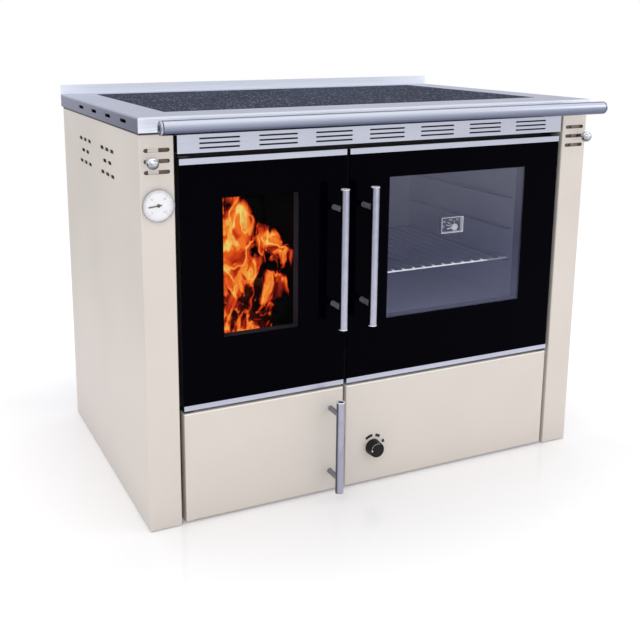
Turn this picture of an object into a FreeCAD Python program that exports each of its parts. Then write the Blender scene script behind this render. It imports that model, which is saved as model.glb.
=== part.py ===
import FreeCAD, Part
import math
import os

from FreeCAD import Vector

# A wood-fired boiler cooker: a firebox in a water jacket on the left, an oven on the right, a hob on top.
# Millimetres. X runs to the right, Y to the back and Z up from the floor. Places are written from the front
# plane of the columns, Y = 0, and save() moves the stove so that its origin is the middle of its footprint.

# Front of the stove, from left to right
COLUMN_W = 68.0
SIDE_GAP = 10.0
FIRE_DOOR_W = 366.0
SPLIT_GAP = 8.0
OVEN_DOOR_W = 550.0

# Front of the stove, from the floor up
DOOR_LIFT = 6.0
LOWER_DOOR_H = 238.0
DOOR_GAP = 7.0
UPPER_DOOR_H = 516.0
FASCIA_GAP = 10.0
FASCIA_H = 43.5
SKIRT_H = 29.5
UPSTAND_H = 23.6

# Depths, from the front to the back
DOOR_DEPTH = 28.0
SEAL_T = 6.0
BAR_T = 6.0
FIREBOX_D = 440.0
OVEN_D = 460.0
REAR_SPACE = 133.0

# Painted casing
PANEL_T = 2.0
BEND_R = 2.5
PANEL_LIFT = 2.0
SIDE_VENT_PLACES = (246.0, 444.0)
SIDE_VENT_ROWS = (3, 2, 3)
SIDE_VENT_DROP = 115.0
SIDE_VENT_L = 31.0
SIDE_VENT_H = 8.0
SIDE_VENT_PITCH = 41.0
SIDE_VENT_ROW_PITCH = 26.5
BACK_VENT_COUNT = 8
BACK_VENT_L = 60.0
BACK_VENT_H = 8.0
BACK_VENT_PITCH = 100.0
BACK_VENT_UP = 120.0
BASE_T = 3.0
FOOT_PAD_R = 22.0
FOOT_PAD_H = 6.0
FOOT_STUD_R = 5.0
FOOT_STUD_L = 30.0
FOOT_INSET_X = 60.0
FOOT_INSET_Y = 60.0

# Stainless top frame and hob
FRAME_T = 1.5
FRAME_OVER_SIDE = 2.5
FRAME_OVER_FRONT = 5.0
FRAME_OVER_BACK = 11.0
FRAME_EDGE_R = 4.0
UPSTAND_T = 3.0
HOB_MARGIN_SIDE = 81.5
HOB_MARGIN_FRONT = 93.0
HOB_MARGIN_BACK = 36.0
HOB_T = 4.0
HOB_GAP = 1.5
HOB_EDGE_R = 0.6
HOB_SEAL_T = 2.0
HOB_LIP_W = 14.0
HOB_SEAL_W = 9.0
SKIRT_SLOT_COUNT = 4
SKIRT_SLOT_L = 42.0
SKIRT_SLOT_H = 7.0
SKIRT_SLOT_PITCH = 119.6
SKIRT_SLOT_FIRST = 98.0
SKIRT_SLOT_CLEAR = 1.5

# Front rail
RAIL_R = 14.0
RAIL_WALL = 2.0
RAIL_OUT = 65.0
RAIL_INSET = 20.5
RAIL_CAP_T = 4.0
RAIL_PLUG_L = 12.0
RAIL_SOCKET_R = 6.0
RAIL_SOCKET_D = 3.0
RAIL_BRACKET_COUNT = 4
RAIL_BRACKET_IN = 92.0
RAIL_BRACKET_R = 5.5
RAIL_BRACKET_DROP = 5.0
RAIL_FLANGE_R = 9.5
RAIL_FLANGE_T = 3.0

# Slotted fascia
FASCIA_INSET = 7.0
FASCIA_LAP = 12.0
VENT_GROUPS = 7
VENT_ROWS = 3
VENT_L = 84.5
VENT_H = 3.3
VENT_END = 44.75
VENT_ROW_PITCH = 9.2
VENT_UP = 18.3
SCREEN_BACK = 8.0
SCREEN_H = 34.0
SCREEN_INSET = 10.0
SCREEN_SHIFT = 57.0
SCREEN_WINDOW_L = 60.0

# Doors
GLASS_T = 4.0
TRIM_T = 1.0
TRIM_WEB_T = 1.5
TRIM_TOP_H = 12.0
TRIM_BOTTOM_H = 10.5
DOOR_SHEET = 2.0
DOOR_FRAME_IN = 2.0
FIRE_WINDOW_LEFT = 89.0
FIRE_WINDOW_RIGHT = 109.0
FIRE_WINDOW_UP = 145.0
FIRE_WINDOW_DOWN = 82.0
OVEN_WINDOW_LEFT = 98.0
OVEN_WINDOW_RIGHT = 94.0
OVEN_WINDOW_UP = 137.0
OVEN_WINDOW_DOWN = 66.0
GLASS_LAP = 12.0
LINER_T = 2.0
SEAL_GAP = 6.0
SEAL_W = 12.0
SEAL_CLEAR = 0.3
FIRE_HATCH_MARGIN = 26.0
OVEN_MARGIN = 18.0

# Bar handles
HANDLE_R = 9.0
HANDLE_WALL = 2.0
HANDLE_PLUG_DEPTH = 7.0
HANDLE_OUT = 46.0
POST_R = 6.0
POST_HOLE_GAP = 0.5
UPPER_HANDLE_L = 299.0
UPPER_HANDLE_UP = 142.0
UPPER_POST_IN = 45.0
FIRE_HANDLE_IN = 28.0
OVEN_HANDLE_IN = 34.5
ASH_HANDLE_L = 212.0
ASH_HANDLE_UP = 14.0
ASH_HANDLE_IN = 31.0
ASH_POST_IN = 32.0
SEAT_GAP = 0.2

# Hinges and catches
HINGE_IN = 10.0
HINGE_BACK = 12.0
HINGE_PIN_R = 3.5
HINGE_FIT = 0.05
HINGE_PIN_DEPTH = 18.0
HINGE_BORE_SPARE = 4.0
HINGE_BOSS_R = 8.0
HINGE_BOSS_H = 30.0
HINGE_PLATE_T = 3.0
HINGE_PLATE_GAP = 2.0
HINGE_LEG_T = 2.5
HINGE_LEG_H = 30.0
CATCH_W = 20.0
CATCH_H = 34.0
CATCH_TAB_W = 26.0
CATCH_TAB_H = 44.0
CATCH_GAP = 0.3

# Boiler, grate and ash
BOILER_WALL = 5.0
WATER_GAP = 45.0
FIREBOX_W = 242.0
SILL_H = 20.0
GRATE_T = 20.0
GRATE_BAR = 12.0
GRATE_SLOT = 10.0
GRATE_RIM = 26.0
GRATE_CLEAR = 2.0
GRATE_PLATE_T = 10.0
GRATE_LEDGE = 28.0
ASH_FLOOR_LIFT = 19.0
ASH_HATCH_H = 180.0
ASH_BOX_T = 2.0
ASH_BOX_D = 450.0
ASH_PAN_T = 1.5
ASH_PAN_H = 80.0
ASH_PAN_CLEAR = 4.0
ASH_PAN_BACK_CLEAR = 20.0
ASH_LIP_D = 10.0
ASH_LIP_W = 90.0
FLOW_SOCKET_R = 15.15
COIL_SOCKET_R = 9.3
SOCKET_WALL = 6.0
SOCKET_STEP = 2.0
SOCKET_THREAD_L = 25.0
SOCKET_OUT = 25.0
SOCKET_INSET = 60.0
SOCKET_SPREAD = 110.0
SOCKET_PAIR = 55.0
SOCKET_HOLE_GAP = 3.0

# Smoke chest and flue
CHEST_T = 2.0
FLUE_WAY_H = 42.0
CHEST_INSET = 6.0
FLUE_R = 76.0
FLUE_T = 2.0
FLUE_OUT = 60.0
FLUE_STOP = 2.0
FLUE_DROP = 130.0
FLUE_BOX_MARGIN = 40.0
FLUE_BOX_GAP = 4.0

# Oven
OVEN_T = 2.0
RUNNER_W = 12.0
RUNNER_T = 2.0
RUNNER_END = 20.0
RUNNER_PITCH = 75.0
RUNNER_LEVELS = (0, 1, 2)
RACK_UP = 101.0
RACK_ROD_R = 2.0
RACK_WIRE_R = 1.5
RACK_PITCH = 27.2
RACK_SIDE_CLEAR = 3.0
RACK_FRONT = 24.0
RACK_BACK = 30.0
THERMO_W = 58.0
THERMO_H = 36.0
THERMO_D = 12.0
THERMO_WALL = 1.5
THERMO_IN = 139.5
THERMO_UP = 175.0
THERMO_HUB_X = 13.0
THERMO_HUB_Z = -8.0
POINTER_T = 0.6
POINTER_W = 2.4
POINTER_SHAFT_R = 1.5
POINTER_FIT = 0.05
THERMO_POINTER_L = 20.0
THERMO_HUB_R = 8.0

# Dial thermometer in the left column
GAUGE_DROP = 169.7
GAUGE_R = 32.0
GAUGE_FACE_R = 30.2
GAUGE_FACE_GAP = 0.2
GAUGE_RIM_H = 7.0
GAUGE_FLOOR_T = 2.0
GAUGE_BODY_R = 27.0
GAUGE_BODY_L = 28.0
GAUGE_HOLE_GAP = 1.0
GAUGE_DIAL_T = 0.6
GAUGE_GLASS_T = 1.4
GAUGE_GLASS_IN = 0.4
GAUGE_POINTER_L = 20.0
GAUGE_POINTER_TAIL = 7.0
GAUGE_POINTER_LIFT = 0.8
GAUGE_HUB_R = 3.5
GAUGE_POINTER_DEG = 187.0

# Air slides in the columns
SLOT_COUNT = 3
SLOT_L = 52.0
SLOT_H = 8.0
SLOT_PITCH = 21.0
SLOT_DROP = 84.5
SLIDE_T = 2.0
SLIDE_W = 21.0
SLIDE_H = 66.0
SLIDE_INWARD = 9.5
SLIDE_TONGUE = 5.0
SLIDE_GAP = 0.3
LEFT_SLIDE_SHIFT = -16.0
RIGHT_SLIDE_SHIFT = 12.5
BALL_R = 11.8
BALL_OUT = 26.0
STEM_R = 3.0
GUIDE_H = 10.0
GUIDE_LAP = 6.0
GUIDE_T = 1.5
GUIDE_END = 2.0

# Thermostat and air flap
KNOB_IN = 70.5
KNOB_UP = 81.5
KNOB_BASE_R = 19.0
KNOB_FACE_R = 17.0
KNOB_H = 21.0
KNOB_GAP = 0.6
KNOB_EDGE_R = 1.2
KNOB_SHAFT_R = 3.0
KNOB_SHAFT_L = 16.0
KNOB_SHAFT_FIT = 0.05
THERMOSTAT_W = 50.0
THERMOSTAT_H = 64.0
THERMOSTAT_D = 30.0
BUSH_R = 7.0
BUSH_HOLE_GAP = 0.3
FLAP_Y = 190.0
FLAP_UP = 150.0
FLAP_HOLE_L = 80.0
FLAP_HOLE_H = 60.0
FLAP_LAP = 8.0
FLAP_T = 3.0
FLAP_GAP = 0.3
FLAP_SHAFT_R = 3.0
FLAP_FIT = 0.05
FLAP_LUG_T = 4.0
FLAP_LUG_GAP = 0.5
FLAP_LUG_R = 7.0

# Places that follow from the sizes above
BODY_W = 2 * COLUMN_W + 2 * SIDE_GAP + FIRE_DOOR_W + SPLIT_GAP + OVEN_DOOR_W
X_SIDE = BODY_W / 2
X_COLUMN = X_SIDE - COLUMN_W
FIRE_X0 = -X_COLUMN + SIDE_GAP
FIRE_X1 = FIRE_X0 + FIRE_DOOR_W
OVEN_X0 = FIRE_X1 + SPLIT_GAP
OVEN_X1 = OVEN_X0 + OVEN_DOOR_W
LOWER_Z0 = DOOR_LIFT
LOWER_Z1 = LOWER_Z0 + LOWER_DOOR_H
UPPER_Z0 = LOWER_Z1 + DOOR_GAP
UPPER_Z1 = UPPER_Z0 + UPPER_DOOR_H
FASCIA_Z0 = UPPER_Z1 + FASCIA_GAP
SKIRT_Z0 = FASCIA_Z0 + FASCIA_H
TOP_Z = SKIRT_Z0 + SKIRT_H
SHEET_TOP_Z = TOP_Z - FRAME_T
PANEL_TOP_Z = TOP_Z - FRAME_EDGE_R
BASE_Z1 = FOOT_PAD_H + BASE_T
Y_FRAME = DOOR_DEPTH + SEAL_T
Y_INSIDE = Y_FRAME + BAR_T
BOILER_Y1 = Y_INSIDE + FIREBOX_D + 2 * BOILER_WALL + WATER_GAP
Y_BACK = BOILER_Y1 + REAR_SPACE
BODY_D = Y_BACK + PANEL_T
GLASS_Y0 = TRIM_T
GLASS_Y1 = GLASS_Y0 + GLASS_T

# Rectangles on the front, as (left, right, bottom, top)
FIRE_DOOR = (FIRE_X0, FIRE_X1, UPPER_Z0, UPPER_Z1)
OVEN_DOOR = (OVEN_X0, OVEN_X1, UPPER_Z0, UPPER_Z1)
ASH_DOOR = (FIRE_X0, FIRE_X1, LOWER_Z0, LOWER_Z1)
LOWER_PANEL = (OVEN_X0, OVEN_X1, LOWER_Z0, LOWER_Z1)


def grow(rect, margin):
    """The rectangle with its edges moved outwards, or inwards if margin is negative."""
    return (rect[0] - margin, rect[1] + margin, rect[2] - margin, rect[3] + margin)


def window(door, left, right, up, down):
    """A window's rectangle, from its distances to the edges of its door."""
    return (door[0] + left, door[1] - right, door[2] + up, door[3] - down)


FIRE_WINDOW = window(FIRE_DOOR, FIRE_WINDOW_LEFT, FIRE_WINDOW_RIGHT, FIRE_WINDOW_UP, FIRE_WINDOW_DOWN)
OVEN_WINDOW = window(OVEN_DOOR, OVEN_WINDOW_LEFT, OVEN_WINDOW_RIGHT, OVEN_WINDOW_UP, OVEN_WINDOW_DOWN)
FIRE_HATCH = grow(FIRE_WINDOW, FIRE_HATCH_MARGIN)
OVEN_MOUTH = grow(OVEN_WINDOW, OVEN_MARGIN)
ASH_FLOOR_Z = BASE_Z1 + ASH_FLOOR_LIFT + ASH_BOX_T
ASH_HATCH = (FIRE_HATCH[0], FIRE_HATCH[1], ASH_FLOOR_Z, ASH_FLOOR_Z + ASH_HATCH_H)
FIRE_CX = (FIRE_WINDOW[0] + FIRE_WINDOW[1]) / 2

FRAME_X = X_SIDE + FRAME_OVER_SIDE
FRAME_Y0 = -FRAME_OVER_FRONT
FRAME_Y1 = BODY_D + FRAME_OVER_BACK
HOB_X = FRAME_X - HOB_MARGIN_SIDE
HOB_HOLE = (-HOB_X, HOB_X, FRAME_Y0 + HOB_MARGIN_FRONT, FRAME_Y1 - HOB_MARGIN_BACK)
HOB_Z0 = TOP_Z - HOB_T
LIP_Z1 = HOB_Z0 - HOB_SEAL_T
LIP_Z0 = LIP_Z1 - FRAME_T
RAIL_Y = FRAME_Y0 - RAIL_OUT
RAIL_Z = TOP_Z - SKIRT_H / 2
RAIL_X = FRAME_X - RAIL_INSET
RAIL_BRACKET_PITCH = 2 * (RAIL_X - RAIL_BRACKET_IN) / (RAIL_BRACKET_COUNT - 1)
FASCIA_X = X_COLUMN - FASCIA_INSET
VENT_PITCH = (2 * (FASCIA_X - VENT_END) - VENT_L) / (VENT_GROUPS - 1)

FIREBOX = (FIRE_CX - FIREBOX_W / 2, FIRE_CX + FIREBOX_W / 2, Y_INSIDE, Y_INSIDE + FIREBOX_D)
BOILER_X0 = FIREBOX[0] - 2 * BOILER_WALL - WATER_GAP
BOILER_X1 = FIREBOX[1] + 2 * BOILER_WALL + WATER_GAP
BOILER_Z0 = FIRE_HATCH[2] - SILL_H - GRATE_T
BOILER_Z1 = LIP_Z0 - FLUE_WAY_H
PLATE_Z0 = BOILER_Z0 - GRATE_PLATE_T
SOCKET_Y1 = BODY_D + SOCKET_OUT
OVEN_OUT_Z1 = OVEN_MOUTH[3] + OVEN_T
OVEN_OUT_Y1 = Y_INSIDE + OVEN_D + OVEN_T
CHEST_X = HOB_HOLE[1] - CHEST_INSET
CHEST_Y1 = HOB_HOLE[3] - CHEST_INSET
FLUE_X = (OVEN_MOUTH[0] + OVEN_MOUTH[1]) / 2
FLUE_Z = TOP_Z - FLUE_DROP
FLUE_Y1 = BODY_D + FLUE_OUT

COLUMN_CX = X_SIDE - COLUMN_W / 2
SLOT_Z = TOP_Z - SLOT_DROP
GAUGE_Z = TOP_Z - GAUGE_DROP
KNOB_X = LOWER_PANEL[0] + KNOB_IN
KNOB_Z = LOWER_Z0 + KNOB_UP
FLAP_WALL_X = FIREBOX[1] + ASH_BOX_T
FLAP_AXIS_X = FLAP_WALL_X + FLAP_GAP + FLAP_SHAFT_R
FLAP_AXIS_Z = ASH_FLOOR_Z + FLAP_UP + FLAP_HOLE_H / 2 + FLAP_LAP
RACK_Z = OVEN_MOUTH[2] + RACK_UP
THERMO_X = OVEN_WINDOW[0] + THERMO_IN + THERMO_W / 2
THERMO_Z = OVEN_WINDOW[2] + THERMO_UP + THERMO_H / 2
THERMO_FLOOR_Y = GLASS_Y1 + THERMO_D - THERMO_WALL

# The origin is the middle of the space from the front of the rail to the end of the flue collar
Y_MID = (RAIL_Y - RAIL_R + FLUE_Y1) / 2

AXIS_X = Vector(1, 0, 0)
AXIS_Y = Vector(0, 1, 0)
AXIS_Z = Vector(0, 0, 1)
# How far a cutting solid runs past the face that it cuts
PAST = 1.0


def box(x0, x1, y0, y1, z0, z1):
    return Part.makeBox(x1 - x0, y1 - y0, z1 - z0, Vector(x0, y0, z0))


def slab(rect, y0, y1):
    """A plate parallel to the front, from a rectangle in X and Z."""
    return box(rect[0], rect[1], y0, y1, rect[2], rect[3])


def rod(start, end, radius):
    return Part.makeCylinder(radius, (end - start).Length, start, end - start)


def band(outer, inner, y0, y1):
    """A rectangular ring parallel to the front."""
    return slab(outer, y0, y1).cut(slab(inner, y0 - PAST, y1 + PAST))


def joined(pieces):
    return pieces[0].fuse(pieces[1:]).removeSplitter()


def slot(centre, length, height, along, through, depth):
    """A slot with round ends, as a solid to cut with."""
    half = (length - height) / 2
    across = along.cross(through)
    size = Vector(*[
        2 * half * abs(a) + depth * abs(t) + height * abs(c) for a, t, c in zip(along, through, across)
    ])
    core = Part.makeBox(size.x, size.y, size.z, centre - size * 0.5)
    start = centre - through * (depth / 2)
    return core.fuse([
        Part.makeCylinder(height / 2, depth, start + along * side, through) for side in (-half, half)
    ])


def spread(count, pitch):
    """Places of a row of things, centred on zero."""
    return [(i - (count - 1) / 2) * pitch for i in range(count)]


def edges_along(shape, direction, accept):
    """Straight edges along one axis whose middle the test accepts."""
    found = []
    for edge in shape.Edges:
        ends = edge.Vertexes
        if len(ends) == 2 and abs((ends[1].Point - ends[0].Point).normalize().dot(direction)) > 0.999:
            if accept((ends[0].Point + ends[1].Point) * 0.5):
                found.append(edge)
    return found


def mirrored(shape):
    return shape.mirror(Vector(0, 0, 0), AXIS_X)


def column_slots():
    """The three air slots of the left column."""
    return [
        slot(Vector(-COLUMN_CX, PANEL_T / 2, SLOT_Z + z), SLOT_L, SLOT_H, AXIS_X, AXIS_Y, PANEL_T + 2 * PAST)
        for z in spread(SLOT_COUNT, SLOT_PITCH)
    ]


def side_vents():
    """Groups of short air slots in the left side."""
    cuts = []
    for y in SIDE_VENT_PLACES:
        for row, z in zip(SIDE_VENT_ROWS, spread(len(SIDE_VENT_ROWS), SIDE_VENT_ROW_PITCH)):
            for shift in spread(row, SIDE_VENT_PITCH):
                middle = Vector(-X_SIDE + PANEL_T / 2, y + shift, TOP_Z - SIDE_VENT_DROP + z)
                cuts.append(slot(middle, SIDE_VENT_L, SIDE_VENT_H, AXIS_Y, AXIS_X, PANEL_T + 2 * PAST))
    return cuts


def skirt_slots(middle_x, depth, clear):
    """The row of slots through the left skirt, or with a clearance the openings behind them."""
    return [
        slot(
            Vector(middle_x, SKIRT_SLOT_FIRST + i * SKIRT_SLOT_PITCH, RAIL_Z),
            SKIRT_SLOT_L + 2 * clear, SKIRT_SLOT_H + 2 * clear, AXIS_Y, AXIS_X, depth + 2 * PAST,
        )
        for i in range(SKIRT_SLOT_COUNT)
    ]


def side_panel():
    """One folded sheet: the side, the front column and the column's return to the front frame."""
    outline = [
        (-X_SIDE, 0), (-X_COLUMN, 0), (-X_COLUMN, Y_FRAME), (-X_COLUMN - PANEL_T, Y_FRAME),
        (-X_COLUMN - PANEL_T, PANEL_T), (-X_SIDE + PANEL_T, PANEL_T), (-X_SIDE + PANEL_T, BODY_D),
        (-X_SIDE, BODY_D), (-X_SIDE, 0),
    ]
    face = Part.Face(Part.makePolygon([Vector(x, y, PANEL_LIFT) for x, y in outline]))
    sheet = face.extrude(Vector(0, 0, PANEL_TOP_Z - PANEL_LIFT))
    bends = edges_along(sheet, AXIS_Z, lambda p: abs(p.y) < PANEL_T / 2)
    behind_skirt = skirt_slots(-X_SIDE + PANEL_T / 2, PANEL_T, SKIRT_SLOT_CLEAR)
    return sheet.makeFillet(BEND_R, bends).cut(column_slots() + side_vents() + behind_skirt)


def side_panel_left():
    """The left side also has the hole for the dial thermometer."""
    hole = Part.makeCylinder(
        GAUGE_BODY_R + GAUGE_HOLE_GAP, PANEL_T + 2 * PAST, Vector(-COLUMN_CX, -PAST, GAUGE_Z), AXIS_Y
    )
    return side_panel().cut(hole)


def side_panel_right():
    return mirrored(side_panel())


def socket_places():
    """(x, z, thread radius) of the boiler's pipe sockets."""
    return {
        "flow": (FIRE_CX, BOILER_Z1 - SOCKET_INSET, FLOW_SOCKET_R),
        "return": (FIRE_CX, BOILER_Z0 + SOCKET_INSET, FLOW_SOCKET_R),
        "coil_in": (FIRE_CX - SOCKET_SPREAD, BOILER_Z1 - SOCKET_INSET, COIL_SOCKET_R),
        "coil_out": (FIRE_CX - SOCKET_SPREAD, BOILER_Z1 - SOCKET_INSET - SOCKET_PAIR, COIL_SOCKET_R),
        "drain": (FIRE_CX + SOCKET_SPREAD, BOILER_Z0 + SOCKET_INSET, COIL_SOCKET_R),
    }


def back_panel():
    """A flat sheet between the sides, with holes for the flue collar and the sockets, and a row of slots."""
    sheet = box(-X_SIDE + PANEL_T, X_SIDE - PANEL_T, Y_BACK, BODY_D, FOOT_PAD_H, SHEET_TOP_Z)
    start = Y_BACK - PAST
    depth = PANEL_T + 2 * PAST
    flue = Part.makeCylinder(FLUE_R + FLUE_T + SOCKET_HOLE_GAP, depth, Vector(FLUE_X, start, FLUE_Z), AXIS_Y)
    holes = [
        Part.makeCylinder(r + SOCKET_WALL + SOCKET_HOLE_GAP, depth, Vector(x, start, z), AXIS_Y)
        for x, z, r in socket_places().values()
    ]
    middle = Y_BACK + PANEL_T / 2
    vents = [
        slot(Vector(x, middle, BASE_Z1 + BACK_VENT_UP), BACK_VENT_L, BACK_VENT_H, AXIS_X, AXIS_Y, depth)
        for x in spread(BACK_VENT_COUNT, BACK_VENT_PITCH)
    ]
    return sheet.cut([flue] + holes + vents)


def foot_places():
    x = X_SIDE - FOOT_INSET_X
    return [(sx, y) for sx in (-x, x) for y in (Y_FRAME + FOOT_INSET_Y, Y_BACK - FOOT_INSET_Y)]


def base_plate():
    plate = box(-X_SIDE + PANEL_T, X_SIDE - PANEL_T, Y_FRAME, Y_BACK, FOOT_PAD_H, BASE_Z1)
    return plate.cut([
        Part.makeCylinder(FOOT_STUD_R + SEAT_GAP, BASE_T + 2 * PAST, Vector(x, y, FOOT_PAD_H - PAST))
        for x, y in foot_places()
    ])


def levelling_feet():
    """Four screw feet, each a pad with its stud."""
    return Part.makeCompound([
        Part.makeCylinder(FOOT_PAD_R, FOOT_PAD_H, Vector(x, y, 0)).fuse(
            Part.makeCylinder(FOOT_STUD_R, FOOT_STUD_L, Vector(x, y, FOOT_PAD_H))
        )
        for x, y in foot_places()
    ])


def front_frame():
    """Flat bars round the fire hatch, the ash hatch and the oven mouth."""
    half = X_COLUMN + PANEL_T
    z1 = SKIRT_Z0 + FASCIA_LAP
    bars = [
        (-half, FIRE_HATCH[0], BASE_Z1, z1),
        (FIRE_HATCH[1], OVEN_MOUTH[0], BASE_Z1, z1),
        (OVEN_MOUTH[1], half, BASE_Z1, z1),
        (FIRE_HATCH[0], FIRE_HATCH[1], BASE_Z1, ASH_HATCH[2]),
        (FIRE_HATCH[0], FIRE_HATCH[1], ASH_HATCH[3], FIRE_HATCH[2]),
        (FIRE_HATCH[0], FIRE_HATCH[1], FIRE_HATCH[3], z1),
        (OVEN_MOUTH[0], OVEN_MOUTH[1], BASE_Z1, OVEN_MOUTH[2]),
        (OVEN_MOUTH[0], OVEN_MOUTH[1], OVEN_MOUTH[3], z1),
    ]
    return Part.makeCompound([slab(bar, Y_FRAME, Y_INSIDE) for bar in bars])


def hob_ring(outset, inset, z0, z1):
    """A flat ring round the edge of the hob's hole."""
    x0, x1, y0, y1 = grow(HOB_HOLE, outset)
    a0, a1, b0, b1 = grow(HOB_HOLE, -inset)
    return box(x0, x1, y0, y1, z0, z1).cut(box(a0, a1, b0, b1, z0 - PAST, z1 + PAST))


def top_frame():
    """The pressed stainless top: skirt, rounded front edge, ledge for the hob and rear upstand."""
    outer = box(-FRAME_X, FRAME_X, FRAME_Y0, FRAME_Y1, SKIRT_Z0, TOP_Z)
    inner_x = FRAME_X - FRAME_T
    inner = box(
        -inner_x, inner_x, FRAME_Y0 + FRAME_T, FRAME_Y1 - FRAME_T, SKIRT_Z0 - SKIRT_H, SHEET_TOP_Z
    )
    shell = []
    for block, top, radius in ((outer, TOP_Z, FRAME_EDGE_R), (inner, SHEET_TOP_Z, FRAME_EDGE_R - FRAME_T)):
        middle_y = (FRAME_Y0 + FRAME_Y1) / 2
        edges = edges_along(block, AXIS_X, lambda p: p.z > top - FRAME_T and p.y < middle_y)
        edges += edges_along(block, AXIS_Y, lambda p: p.z > top - FRAME_T)
        shell.append(block.makeFillet(radius, edges))
    ledge = hob_ring(FRAME_T, 0, LIP_Z0, TOP_Z - FRAME_T)
    lip = hob_ring(0, HOB_LIP_W, LIP_Z0, LIP_Z1)
    upstand = box(-FRAME_X, FRAME_X, FRAME_Y1 - UPSTAND_T, FRAME_Y1, SKIRT_Z0, TOP_Z + UPSTAND_H)
    hole = box(*HOB_HOLE, LIP_Z1, TOP_Z + PAST)
    frame = joined([shell[0].cut(shell[1]).cut(hole), ledge, lip, upstand])
    slots = [skirt_slots(side * (FRAME_X - FRAME_T / 2), FRAME_T, 0) for side in (-1, 1)]
    return frame.cut(slots[0] + slots[1])


def hob_plate():
    plate = box(*grow(HOB_HOLE, -HOB_GAP), HOB_Z0, TOP_Z)
    rim = [e for e in plate.Edges if e.BoundBox.ZMin > TOP_Z - HOB_T / 2]
    return plate.makeFillet(HOB_EDGE_R, rim)


def hob_seal():
    return hob_ring(-HOB_GAP, HOB_GAP + HOB_SEAL_W, LIP_Z1, HOB_Z0)


def rail_tube():
    half = RAIL_X - RAIL_CAP_T
    ends = [Vector(x, RAIL_Y, RAIL_Z) for x in (-half, half)]
    return rod(*ends, RAIL_R).cut(rod(*ends, RAIL_R - RAIL_WALL))


def rail_end_caps():
    """Turned plugs that close the rail, each with a round key socket."""
    caps = []
    for side in (-1, 1):
        seat_x = RAIL_X - RAIL_CAP_T
        end, seat, inner = [
            Vector(side * x, RAIL_Y, RAIL_Z) for x in (RAIL_X, seat_x, seat_x - RAIL_PLUG_L)
        ]
        disc = rod(seat, end, RAIL_R)
        outer = [e for e in disc.Edges if abs(e.BoundBox.Center.x - end.x) < RAIL_CAP_T / 2 and e.Closed]
        cap = joined([disc.makeFillet(BEND_R, outer), rod(inner, seat, RAIL_R - RAIL_WALL - SEAT_GAP)])
        caps.append(cap.cut(rod(end - AXIS_X * (side * RAIL_SOCKET_D), end, RAIL_SOCKET_R)))
    return Part.makeCompound(caps)


def rail_brackets():
    """Round spacers that carry the rail in front of the skirt."""
    tube = rod(Vector(-RAIL_X, RAIL_Y, RAIL_Z), Vector(RAIL_X, RAIL_Y, RAIL_Z), RAIL_R + SEAT_GAP)
    pieces = []
    for x in spread(RAIL_BRACKET_COUNT, RAIL_BRACKET_PITCH):
        foot = Vector(x, FRAME_Y0, RAIL_Z - RAIL_BRACKET_DROP)
        post = rod(foot, Vector(x, RAIL_Y, foot.z), RAIL_BRACKET_R).cut(tube)
        pieces.append(joined([post, rod(foot, foot - AXIS_Y * RAIL_FLANGE_T, RAIL_FLANGE_R)]))
    return Part.makeCompound(pieces)


def vent_fascia():
    """The slotted strip over the doors, with a flange back to the front frame."""
    face = box(-FASCIA_X, FASCIA_X, 0, FRAME_T, FASCIA_Z0, SKIRT_Z0 + FASCIA_LAP)
    flange = box(-FASCIA_X, FASCIA_X, 0, Y_FRAME, FASCIA_Z0, FASCIA_Z0 + FRAME_T)
    slots = []
    for x in spread(VENT_GROUPS, VENT_PITCH):
        for z in spread(VENT_ROWS, VENT_ROW_PITCH):
            row = FASCIA_Z0 + VENT_UP + z
            slots.append(box(
                x - VENT_L / 2, x + VENT_L / 2, -PAST, FRAME_T + PAST, row - VENT_H / 2, row + VENT_H / 2
            ))
    return joined([face, flange]).cut(slots)


def vent_screen():
    """A strip behind the fascia that shows through part of each group of slots."""
    half = FASCIA_X - SCREEN_INSET
    z0 = FASCIA_Z0 + FRAME_T
    strip = box(-half, half, SCREEN_BACK, SCREEN_BACK + FRAME_T, z0, z0 + SCREEN_H)
    height = (VENT_ROWS - 1) * VENT_ROW_PITCH + 2 * VENT_H
    middle = FASCIA_Z0 + VENT_UP
    start = SCREEN_SHIFT - VENT_L / 2
    windows = [
        box(
            x + start, x + start + SCREEN_WINDOW_L, SCREEN_BACK - PAST, SCREEN_BACK + FRAME_T + PAST,
            middle - height / 2, middle + height / 2,
        )
        for x in spread(VENT_GROUPS, VENT_PITCH)
    ]
    return strip.cut(windows)


def hinge_boss(axis_x, y0, z0, z1):
    """The block in a door's corner that the hinge pin runs in."""
    return box(axis_x - HINGE_BOSS_R, axis_x + HINGE_BOSS_R, y0, HINGE_BACK + HINGE_BOSS_R, z0, z1)


def hinge_bores(axis_x, z0, z1):
    """The two blind bores in a door's top and bottom edges."""
    depth = HINGE_PIN_DEPTH + HINGE_BORE_SPARE + PAST
    low = Vector(axis_x, HINGE_BACK, z0 - PAST)
    high = Vector(axis_x, HINGE_BACK, z1 + PAST)
    radius = HINGE_PIN_R + HINGE_FIT
    return [rod(low, low + AXIS_Z * depth, radius), rod(high - AXIS_Z * depth, high, radius)]


def flange_width(margin):
    return margin + SEAL_GAP + SEAL_W + DOOR_SHEET


def catch_tab(edge_x, inward, middle_z):
    """(left, right, bottom, top) of the steel tab that a door's catch holds."""
    x0, x1 = sorted((edge_x, edge_x + inward * CATCH_TAB_W))
    return (x0, x1, middle_z - CATCH_TAB_H / 2, middle_z + CATCH_TAB_H / 2)


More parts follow.
